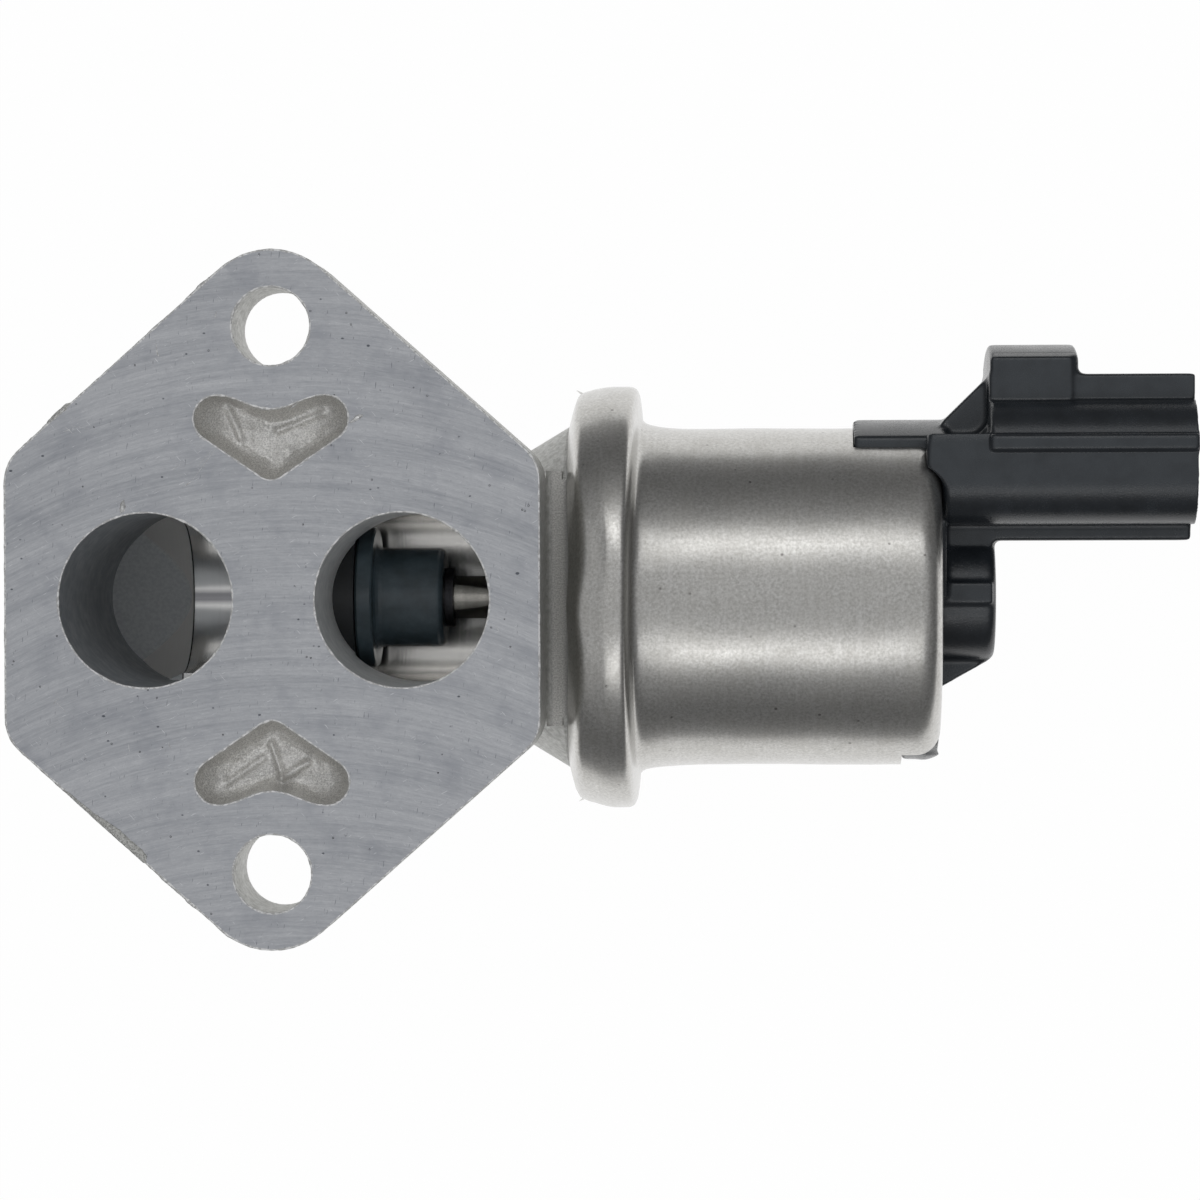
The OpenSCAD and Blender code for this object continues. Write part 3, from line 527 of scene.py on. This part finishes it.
# The can with its slots cut by one exact boolean
def can():
    me = turned_can(216)
    cut = bpy.data.meshes.new("slots")
    verts, faces = [], []
    for lo, hi in SLOT_BOXES:
        base = len(verts)
        verts.extend(tuple(MM * (hi, lo)[(c >> i) & 1][i] for i in range(3)) for c in range(8))
        faces.extend(tuple(base + c for c in f) for f in BOX_FACES)
    cut.from_pydata(verts, [], faces)
    objects = []
    for name, mesh in (("can_base", me), ("slots", cut)):
        bm = bmesh.new()
        bm.from_mesh(mesh)
        bmesh.ops.recalc_face_normals(bm, faces=bm.faces)
        bm.to_mesh(mesh)
        bm.free()
        objects.append(link(bpy.data.objects.new(name, mesh)))
    mod = objects[0].modifiers.new("slots", "BOOLEAN")
    mod.operation, mod.solver, mod.object = "DIFFERENCE", "EXACT", objects[1]
    new = applied(objects[0])
    for o in objects:
        bpy.data.objects.remove(o)
    new.name = "can_shell"
    return place("can_shell", soften(new, 30), "can_steel", node="solenoid_can")


# Smooth shading, apart from edges sharper than an angle
def soften(me, angle):
    bm = bmesh.new()
    bm.from_mesh(me)
    for f in bm.faces:
        f.smooth = True
    for e in bm.edges:
        e.smooth = not (len(e.link_faces) == 2 and e.calc_face_angle(0) > math.radians(angle))
    bm.to_mesh(me)
    bm.free()
    return me


# Connector's own form: flat front with rounded corners, an arched latch block and a longer lower key
SHELL_Y, SHELL_HALF = 12.9, (5.9, 10.6)
SHELL_SHIFT, SHELL_CORNER = -0.2, 4.5
# The CAD model's shell: half its straight length and its radius
STADIUM_HALF, STADIUM_R = 4.5, 6.1
# Latch block's top: its height before and now, and the radius of its arch
LATCH_WAS, LATCH_TOP, LATCH_R = 23.7, 24.0, 18.5
# Where the can's rounded end begins, along X and from the axis, and its radius
CAN_END_X, CAN_END_R = 59.2, (13.8, 2.3)


# Distance from the shell's middle to its rounded rectangle, in the directions t
def shell_reach(t):
    du, dw = np.cos(t), np.sin(t)
    half_y, half_w = SHELL_HALF[0] - SHELL_CORNER, SHELL_HALF[1] - SHELL_CORNER
    best = np.full(len(t), 11.0)
    for step in range(24):
        px, py = best * du, best * dw - SHELL_SHIFT
        qx, qy = np.maximum(np.abs(px) - half_w, 0), np.maximum(np.abs(py) - half_y, 0)
        within = np.minimum(np.maximum(np.abs(px) - half_w, np.abs(py) - half_y), 0)
        best = best - (np.hypot(qx, qy) - SHELL_CORNER + within) * 0.8
    return best


def moulding(co):
    x, y, z = co[:, 0].copy(), co[:, 1].copy(), co[:, 2] - AXIS_Z
    u, w = y - SHELL_Y, np.abs(z)
    # The outer skin goes to the rounded rectangle, apart from where the latch block stands on it
    old = np.where(w > STADIUM_HALF, np.hypot(u, w - STADIUM_HALF), np.abs(u))
    skin = (1 - smoothstep(np.abs(old - STADIUM_R), 0.22, 0.45)) * smoothstep(x, 61.6, 61.9)
    skin *= np.where(y > 15.35, smoothstep(x, 65.95, 66.1) * smoothstep(w, 6.7, 7.1), 1)
    best = shell_reach(np.arctan2(u, np.maximum(w, 1e-6)))
    scale = 1 + skin * (best / np.maximum(np.hypot(u, w), 1e-6) - 1)
    wall = skin > 0
    co[wall, 1] = (SHELL_Y + u * scale)[wall]
    co[wall, 2] = (AXIS_Z + z * scale)[wall]
    # The latch block's top is arched, and the shell ends a little further out
    top = smoothstep(y, 21.9, 22.4) * smoothstep(x, 65.5, 65.9) * (1 - smoothstep(x, 74.6, 75.0))
    arch = LATCH_R - np.sqrt(LATCH_R ** 2 - np.minimum(w, 8) ** 2)
    co[:, 1] += top * (LATCH_TOP - arch - LATCH_WAS + np.maximum(0, w - 6.2))
    co[:, 0] += 0.15 * smoothstep(x, 84.0, 84.8)
    # The neck reaches back over the can's rounded end
    depth = np.clip(np.hypot(y, z) - CAN_END_R[0], 0, 2.2)
    end = CAN_END_X + np.sqrt(np.maximum(0, CAN_END_R[1] ** 2 - depth ** 2))
    neck = smoothstep(w, 7.8, 8.3) * smoothstep(x, 61.0, 61.3) * (1 - smoothstep(x, 61.8, 63.2)) * (y > 3)
    co[:, 0] -= np.clip(61.5 - end, 0, 1.5) * neck
    # The lower key is longer and deeper
    key = (1 - smoothstep(y, -14.9, -14.6)) * smoothstep(x, 59.0, 60.5)
    co[:, 0] += 0.25 * key
    co[:, 1] -= 0.18 * key
    return co


# Edges joined into closed loops
def chain(edges):
    near = {}
    for a, b in edges:
        near.setdefault(a, []).append(b)
        near.setdefault(b, []).append(a)
    left, loops = set(near), []
    while left:
        start = min(left)
        loop, last, here = [start], None, start
        while True:
            left.discard(here)
            nxt = [v for v in near[here] if v != last and (v in left or v == start)]
            if not nxt or nxt[0] == start:
                break
            last, here = here, nxt[0]
            loop.append(here)
        loops.append(loop)
    return loops


# A closed outline with points an even step apart
def resample(p, step):
    q = np.vstack([p, p[:1]])
    d = np.concatenate([[0], np.cumsum(np.hypot(*np.diff(q, axis=0).T))])
    n = max(12, int(d[-1] / step))
    t = np.linspace(0, d[-1], n, endpoint=False)
    return np.stack([np.interp(t, d, q[:, i]) for i in (0, 1)], 1)


# Smooth noise in a plane, of frequency f
def rnd(x, y, f, seed):
    return mnoise.noise(Vector((x * f + seed, y * f - seed, seed * 1.7)))


# Outlines of the machined face, each with the metal on its left
def face_outlines():
    bm = welded("valve_body")
    bm.verts.index_update()
    rim, side = [], {}
    for e in bm.edges:
        if all(abs(v.co.z) < 2e-6 for v in e.verts) and len(e.link_faces) == 2:
            up = [f for f in e.link_faces if f.normal.z > 0.99]
            if len(up) == 1:
                a, b = e.verts[0].index, e.verts[1].index
                m = up[0].calc_center_median() / MM
                rim.append((a, b))
                side[(a, b)] = side[(b, a)] = (m.x, m.y)
    at = {v.index: (v.co.x / MM, v.co.y / MM) for v in bm.verts}
    bm.free()
    loops = []
    for ids in chain(rim):
        p = np.array([at[i] for i in ids])
        a, b, m = p[0], p[1], side[(ids[0], ids[1])]
        metal_left = (b[0] - a[0]) * (m[1] - a[1]) - (b[1] - a[1]) * (m[0] - a[0]) > 0
        p = np.array([set_in(*v) or v for v in p]) if np.ptp(p[:, 0]) > 30 else p
        loops.append(p if metal_left else p[::-1])
    return loops


# Outline of a belt laid round circles (x, y, r)
def belt(circles):
    def leave(p, q):
        dx, dy = q[0] - p[0], q[1] - p[1]
        return math.atan2(dy, dx) - math.acos((p[2] - q[2]) / math.hypot(dx, dy))
    points = []
    for i, h in enumerate(circles):
        a0 = leave(circles[i - 1], h)
        turn = (leave(h, circles[(i + 1) % 6]) - a0) % (2 * math.pi)
        for k in range(11):
            a = a0 + turn * k / 10
            points.append((h[0] + h[2] * math.cos(a), h[1] + h[2] * math.sin(a)))
    return np.array(points)


# Flange: the belt round four corners and the two ears, by the length of its flat sides and the corners' radius
HALF_WIDTH, BOLT_Y, EAR_R = 24.55, 25, 7.0


def flange(flat, corner):
    x, y = HALF_WIDTH - corner, flat / 2 - corner * 0.35
    return belt([(x, -y, corner), (x, y, corner), (0, BOLT_Y, EAR_R),
                 (-x, y, corner), (-x, -y, corner), (0, -BOLT_Y, EAR_R)])


OLD, NEW = flange(25.6, 2.5), flange(24.4, 4.0)


# The flange's sides set in to the photo's outline: a point on the old outline goes to its place on the new
def set_in(x, y):
    nxt, new = np.roll(OLD, -1, 0), np.roll(NEW, -1, 0)
    d = nxt - OLD
    run = (x - OLD[:, 0]) * d[:, 0] + (y - OLD[:, 1]) * d[:, 1]
    t = np.clip(run / np.maximum((d ** 2).sum(1), 1e-12), 0, 1)
    near = np.hypot(OLD[:, 0] + d[:, 0] * t - x, OLD[:, 1] + d[:, 1] * t - y)
    i = int(near.argmin())
    if near[i] > 0.03:
        return None
    return tuple(NEW[i] + (new[i] - NEW[i]) * t[i])


# Ridges in the pockets: both ends and the height
RIDGES = ((-4.3, 17.6, -3.2, 14.9, 0.5), (0.3, 15.6, 4.6, 17.2, 0.35), (-0.4, -13.3, 0.6, -16.4, 0.5),
          (0.6, -16.4, 2.9, -15.0, 0.55), (-4.6, -16.9, -1.2, -14.6, 0.3))
# Pocket's depth, and the share of it reached from the middle to the rim
POCKET_DEEP = 3.4
BOWL_NOISE = ((0.34, 0.42, 3.1), (0.10, 1.3, 7.7), (0.03, 4.2, 1.3))
BOWL = (0.0, 0.42, 0.58, 0.74, 0.86, 0.95, 1.0), (1, 1, 0.95, 0.82, 0.62, 0.35, 0.0)


# Casting: machined surfaces keep the CAD model's shape, and each cast pocket becomes a rough bowl
def casting(loops):
    src = frame["nodes"]["valve_body"].data
    verts = [tuple(v.co / MM) for v in src.vertices]
    # The flange's outline moves in
    moved = {}
    for i, v in enumerate(verts):
        if v[2] > LAND_Z - 0.02 and abs(v[1]) > 10.6:
            to = set_in(v[0], v[1])
            if to:
                moved[i] = (*to, v[2])
    for i, v in moved.items():
        verts[i] = v
    # The pockets' own surfaces are left out, and moved sides get new normals
    own = [tuple(n.vector) for n in src.corner_normals]
    faces, normals = [], []
    for f in src.polygons:
        c = f.center / MM
        pocket = abs(c.x) < 7.8 and 10.4 < abs(c.y) < 19.4 and -3.6 < c.z < -0.004 and f.normal.z > -0.5
        if not (pocket and any(verts[i][2] < -0.002 for i in f.vertices)):
            faces.append(tuple(f.vertices))
            side = abs(f.normal.z) < 0.5 and any(i in moved for i in f.vertices)
            normals += [(0.0, 0.0, 0.0) if side else own[i] for i in f.loop_indices]
    # A bowl takes the place of each pocket, ring by ring from its rim to its middle
    for p in loops:
        if not (10 < abs(p[:, 1].mean()) < 19 and np.ptp(p[:, 0]) > 9 and np.ptp(p[:, 1]) < 12):
            continue
        q = resample(p, 0.22)
        cy = (abs(p[:, 1]).max() + abs(p[:, 1]).min()) / 2 * np.sign(p[:, 1].mean())
        base, size, steps = len(verts), len(q), 28
        for i in range(steps + 1):
            s = 1.012 - 1.0 * i / steps
            share = np.interp(s, *BOWL)
            fade = smoothstep(1.0 - s, 0.0, 0.16)
            for x, y in q:
                px, py = x * s, cy + (y - cy) * s
                bump = sum(high * rnd(px, py, f, seed) for high, f, seed in BOWL_NOISE)
                for ax, ay, bx, by, high in RIDGES:
                    ux, uy = bx - ax, by - ay
                    u = min(1, max(0, ((px - ax) * ux + (py - ay) * uy) / (ux * ux + uy * uy)))
                    away = (px - ax - ux * u) ** 2 + (py - ay - uy * u) ** 2
                    bump += high * math.exp(-away / 0.12)
                verts.append((px, py, -POCKET_DEEP * share + fade * bump - 0.01))
        bowl = []
        for i in range(steps):
            for k in range(size):
                m = (k + 1) % size
                row, deeper = base + i * size, base + (i + 1) * size
                bowl.append((row + k, deeper + k, deeper + m, row + m))
        bowl.append(tuple(base + steps * size + k for k in range(size - 1, -1, -1)))
        faces += bowl
        normals += [(0.0, 0.0, 0.0)] * sum(len(f) for f in bowl)
    me = bpy.data.meshes.new("casting")
    me.from_pydata([tuple(c * MM for c in v) for v in verts], [], faces)
    me.update()
    me.polygons.foreach_set("use_smooth", np.ones(len(me.polygons), bool))
    me.normals_split_custom_set(normals)
    return place("casting", me, "cast_aluminium", node="valve_body")


# Torn edge left by the milling cutter: a thin uneven ribbon round every outline of the face
def burrs(loops):
    verts, faces = [], []
    for p in loops:
        q = resample(p, 0.2)
        t = np.roll(q, -1, 0) - np.roll(q, 1, 0)
        t /= np.maximum(np.hypot(t[:, 0], t[:, 1]), 1e-9)[:, None]
        out = np.stack([t[:, 1], -t[:, 0]], 1)
        base, size = len(verts), len(q)
        outer = np.ptp(q[:, 0]) > 30
        for (x, y), (ox, oy) in zip(q, out):
            a, b, c = rnd(x, y, 0.9, 2.2), rnd(x, y, 2.8, 5.5), rnd(x, y, 0.25, 8.8)
            wide = 0.02 + 0.07 * max(0, a) + 0.05 * max(0, b) + 0.03 * max(0, c)
            high = 0.008 + 0.035 * max(0, a + 0.5 * b)
            if outer and x < -4 and abs(y) > 14:
                wide += 0.10 * max(0, c + 0.15) + 0.08 * max(0, a)
            ribbon = ((-0.17 - 0.12 * b, -0.012), (-0.09, high * 0.6), (-0.02, high),
                      (wide, high * 0.2 - 0.02), (wide * 0.8, -0.16 - 0.1 * max(0, c)), (-0.06, -0.4))
            for o, h in ribbon:
                verts.append((x + ox * o, y + oy * o, h))
        for i in range(size):
            j = (i + 1) % size
            for k in range(6):
                m = (k + 1) % 6
                faces.append((base + i * 6 + k, base + j * 6 + k, base + j * 6 + m, base + i * 6 + m))
    piece("edge_burrs", verts, faces, "cast_aluminium", BURR_GLINT)


# Rough strip along a straight edge of the flange: what a cast gate and the flash left there
def rest(name, start, end, section, width, seed):
    a, b = np.array(start, float), np.array(end, float)
    d = (b - a) / np.hypot(*(b - a))
    o = np.array([d[1], -d[0]])
    if o[0] > 0:
        o = -o
    verts, faces, count, rows = [], [], 150, len(section)
    for i in range(count + 1):
        t = i / count
        x, y = a + (b - a) * t
        w = np.interp(t, *width) * (1 + 0.25 * rnd(x, y, 1.1, seed + 1) + 0.12 * rnd(x, y, 3.5, seed + 4))
        for r, (out, z) in enumerate(section):
            e = w * out if out < 0 else out * min(1.0, w * 3)
            e += 0.03 * rnd(x * 2, z * 3, 1.4, seed + 2)
            verts.append((x + o[0] * e, y + o[1] * e, z + 0.03 * rnd(x * 2.5, y * 2.5 + r, 1.3, seed + 3)))
    for i in range(count):
        for r in range(rows - 1):
            k = i * rows + r
            faces.append((k, k + rows, k + rows + 1, k + 1))
    piece(name, verts, faces, "cast_aluminium", ROUGH)


# Nicks and scratches raised by knocks: both ends, width and height
NICKS = (
    ((-13.85, 7.95), (-13.45, 9.15), 0.6, 0.25), ((7.2, 16.25), (8.5, 16.8), 0.62, 0.2),
    ((-4.92, 14.0), (-7.4, 10.7), 0.07, 0.02), ((-5.4, 13.7), (-6.85, 12.1), 0.06, 0.015),
    ((-7.9, 10.4), (-7.3, 10.9), 0.16, 0.04), ((-6.85, 15.2), (-6.0, 14.55), 0.12, 0.05),
    ((-4.45, 13.55), (-2.0, 12.05), 0.10, 0.05), ((1.8, 17.5), (2.5, 17.9), 0.2, 0.08),
    ((-4.0, -13.3), (-4.6, -13.85), 0.2, 0.08), ((-0.9, -11.3), (-0.1, -11.0), 0.16, 0.06),
    ((-10.55, 23.8), (-10.3, 22.3), 0.10, 0.03), ((-10.5, 22.9), (-10.2, 22.2), 0.18, 0.04),
    ((-19.2, 15.4), (-18.0, 15.8), 0.07, 0.02), ((-18.4, 16.0), (-16.6, 15.7), 0.05, 0.015),
    ((-18.9, 15.9), (-18.1, 15.2), 0.07, 0.02), ((-20.1, -9.1), (-18.9, -10.2), 0.07, 0.02),
    ((-20.2, -9.6), (-19.6, -8.9), 0.09, 0.03), ((-13.2, -13.1), (-13.05, -13.85), 0.08, 0.03),
    ((-9.55, -12.95), (-9.2, -13.7), 0.1, 0.03), ((-9.2, 11.9), (-8.1, 12.5), 0.06, 0.02),
    ((-4.9, 26.4), (-5.1, 25.7), 0.12, 0.05), ((8.4, 12.1), (9.4, 12.3), 0.06, 0.02),
    ((9.1, 9.6), (9.6, 8.9), 0.07, 0.02), ((-8.6, -17.1), (-8.1, -17.0), 0.1, 0.03),
    ((13.1, 15.2), (13.9, 14.6), 0.06, 0.02), ((20.4, -2.1), (20.9, -3.0), 0.06, 0.02),
)


# Each nick is a tapered sliver
def nicks():
    verts, faces = [], []
    for i, (a, b, wide, high) in enumerate(NICKS):
        a, b = np.array(a), np.array(b)
        d = (b - a) / np.hypot(*(b - a))
        o = np.array([d[1], -d[0]])
        base = len(verts)
        for j in range(9):
            t = j / 8
            w = wide * 0.5 * math.sin(math.pi * (0.06 + 0.88 * t)) * (1 + 0.4 * rnd(i * 3.0, t * 4, 1.0, 2.0))
            c = a + (b - a) * t + o * 0.12 * wide * math.sin(t * 5 + i)
            top = high * math.sin(math.pi * (0.1 + 0.8 * t))
            for s, z in ((-1, -0.02), (-0.35, top * 0.8), (0.3, top), (1, -0.02)):
                verts.append((*(c + o * s * w), z))
        for j in range(8):
            for k in range(3):
                n = base + j * 4 + k
                faces.append((n, n + 4, n + 5, n + 1))
    piece("nicks", verts, faces, "cast_aluminium", BURR_GLINT, smooth=False)


# Two torn corners on the can's lip: the place of each and the side that it points to
LIP_BURRS = ((27.1, 19.55, 1), (27.25, -19.35, -1))
LIP_POINTS = ((0, 0, -0.9), (-0.28, 0.34, -0.3), (-0.34, 0.30, 0.35), (0, 0, 1.0), (0.35, 0.05, 0.2), (0.3, 0.0, -0.4))
LIP_FACES = ((0, 1, 5), (1, 2, 4), (1, 4, 5), (2, 3, 4), (0, 5, 4), (0, 4, 3), (0, 2, 1), (0, 3, 2))


def lip_burrs():
    verts, faces = [], []
    for x, y, turn in LIP_BURRS:
        faces += [tuple(len(verts) + i for i in f) for f in LIP_FACES]
        verts += [(x + dx, y + turn * dy, AXIS_Z + dz) for dx, dy, dz in LIP_POINTS]
    piece("lip_burrs", verts, faces, "can_steel", smooth=False)


def spring():
    coil = place("spring_coil", frame["nodes"]["return_spring"].data.copy(), "spring_steel", node="return_spring")
    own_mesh(coil)


# Sections of the two rough strips, as (out, z), and how their width runs along them
GATE = ((-1, -0.06), (-0.96, 0.05), (-0.7, 0.07), (-0.4, 0.05), (0.0, 0.03),
        (0.13, -0.06), (0.16, -0.7), (0.1, -2.0), (-0.2, -2.6))
GATE_WIDTH = (0, 0.06, 0.3, 0.45, 0.62, 0.85, 0.96, 1), (0.02, 0.2, 0.3, 0.45, 0.62, 0.85, 0.5, 0.02)
FLASH = ((-0.5, -0.06), (-0.3, 0.012), (0.05, 0.0), (0.30, -0.25), (0.34, -1.2), (0.2, -2.6), (-0.3, -3.2))
FLASH_WIDTH = (0, 0.12, 0.4, 0.75, 0.85, 1), (0.0, 0.25, 0.4, 0.5, 0.3, 0.0)

outlines = face_outlines()
casting(outlines)
burrs(outlines)
rest("gate_rest", (-19.21, -17.33), (-11.58, -24.09), GATE, GATE_WIDTH, 4.0)
rest("edge_flash", (-20.75, 15.97), (-18.3, 18.14), FLASH, FLASH_WIDTH, 9.0)
nicks()
lip_burrs()
can()
rounded("connector_housing", "connector_moulding", 0.26, 2, moulding)
spring()


# Camera at the photo's angle: almost straight on to the face, from above the can
CAMERA_AT = (48.1, 4.4, 355.0)
CAMERA_TURN = (("Z", -0.00258), ("Y", 0.05079), ("X", -0.01261))
CAMERA_LENS = 117.38


def camera():
    data = bpy.data.cameras.new("camera")
    data.lens = CAMERA_LENS
    data.sensor_width = 36.0
    data.clip_start = 0.01
    data.clip_end = 10
    o = link(bpy.data.objects.new("camera", data))
    matrix = Matrix.Translation(Vector(CAMERA_AT) * MM)
    for axis, turn in CAMERA_TURN:
        matrix = matrix @ Matrix.Rotation(turn, 4, axis)
    o.matrix_world = matrix
    scene.camera = o


# A white rectangular lamp at a place, aimed at another
def area(name, at, aim, size, power):
    data = bpy.data.lights.new(name, "AREA")
    data.shape = "RECTANGLE"
    data.size, data.size_y = size[0] * MM, size[1] * MM
    data.energy = power
    o = link(bpy.data.objects.new(name, data))
    o.location = Vector(at) * MM
    o.rotation_mode = "QUATERNION"
    o.rotation_quaternion = (Vector(aim) - Vector(at)).to_track_quat("-Z", "Y")


camera()
# Two long softboxes, each with a small bright core, and a weak fill from in front
for name, side, power in (("top", 1, 0.27), ("low", -1, 0.26)):
    area("softbox_" + name, (50, side * 330, 430), (25, 0, -20), (560, 190), power)
    area("core_" + name, (21, side * 330, 425), (37, 0, -20), (16, 50), power * 0.12)
area("fill", (-20, 30, 560), (0, 0, -20), (150, 150), 0.012)

# World: grey above and darker at the horizon, by the height of the direction from 0 straight down to 1 straight up
SKY = ((0.0, 0.30), (0.40, 0.19), (0.48, 0.14), (0.60, 0.14), (0.76, 0.26), (0.90, 0.48),
       (0.985, 0.53), (0.9965, 0.50), (0.9985, 0.40))


# An emptied tree's new nodes, by their types
def nodes(tree, *kinds):
    tree.nodes.clear()
    return [tree.nodes.new("ShaderNode" + kind) for kind in kinds]


# Links between pairs of sockets
def join(tree, *pairs):
    for a, b in pairs:
        tree.links.new(a, b)


# The sky lights the object, and the camera sees plain white past the floor
def studio():
    world = bpy.data.worlds.new("studio")
    scene.world = world
    world.use_nodes = True
    t = world.node_tree
    out, sky, white, mix, path, co, sep, height, ramp = nodes(
        t, "OutputWorld", "Background", "Background", "MixShader", "LightPath", "TexCoord", "SeparateXYZ",
        "MapRange", "ValToRGB")
    height.inputs[1].default_value, height.inputs[2].default_value = -1.0, 1.0
    while len(ramp.color_ramp.elements) < len(SKY):
        ramp.color_ramp.elements.new(0.5)
    for e, (pos, v) in zip(ramp.color_ramp.elements, SKY):
        e.position = pos
        e.color = (v, v * 1.01, v * 1.03, 1)
    white.inputs[0].default_value = (1, 1, 1, 1)
    join(t, (co.outputs["Generated"], sep.inputs[0]), (sep.outputs[2], height.inputs[0]),
         (height.outputs[0], ramp.inputs[0]), (ramp.outputs[0], sky.inputs[0]),
         (path.outputs["Is Camera Ray"], mix.inputs[0]), (sky.outputs[0], mix.inputs[1]),
         (white.outputs[0], mix.inputs[2]), (mix.outputs[0], out.inputs[0]))


# Oval floor under the part: white to the camera and in reflections, pale grey to other light
FLOOR_MIDDLE, FLOOR_HALF = 30.0, (220.0, 85.0)
FLOOR_WHITE = 0.985


def floor():
    me = bpy.data.meshes.new("floor")
    bm = bmesh.new()
    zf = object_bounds()[0].z
    for i in range(96):
        a = 2 * math.pi * i / 96
        bm.verts.new(((FLOOR_MIDDLE + FLOOR_HALF[0] * math.cos(a)) * MM, FLOOR_HALF[1] * math.sin(a) * MM, zf))
    bm.faces.new(bm.verts)
    bm.to_mesh(me)
    bm.free()
    m = bpy.data.materials.new("floor")
    m.use_nodes = True
    t = m.node_tree
    out, matt, white, mix, path, either, share = nodes(
        t, "OutputMaterial", "BsdfDiffuse", "Emission", "MixShader", "LightPath", "Math", "Math")
    matt.inputs[0].default_value = (0.92, 0.92, 0.92, 1)
    white.inputs[0].default_value = (1, 1, 1, 1)
    either.operation, share.operation = "MAXIMUM", "MULTIPLY"
    share.inputs[1].default_value = FLOOR_WHITE
    join(t, (path.outputs["Is Camera Ray"], either.inputs[0]), (path.outputs["Is Glossy Ray"], either.inputs[1]),
         (either.outputs[0], share.inputs[0]), (share.outputs[0], mix.inputs[0]), (matt.outputs[0], mix.inputs[1]),
         (white.outputs[0], mix.inputs[2]), (mix.outputs[0], out.inputs[0]))
    me.materials.append(m)
    link(bpy.data.objects.new("floor", me))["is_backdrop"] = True


studio()
floor()
scene.view_settings.view_transform = "Standard"
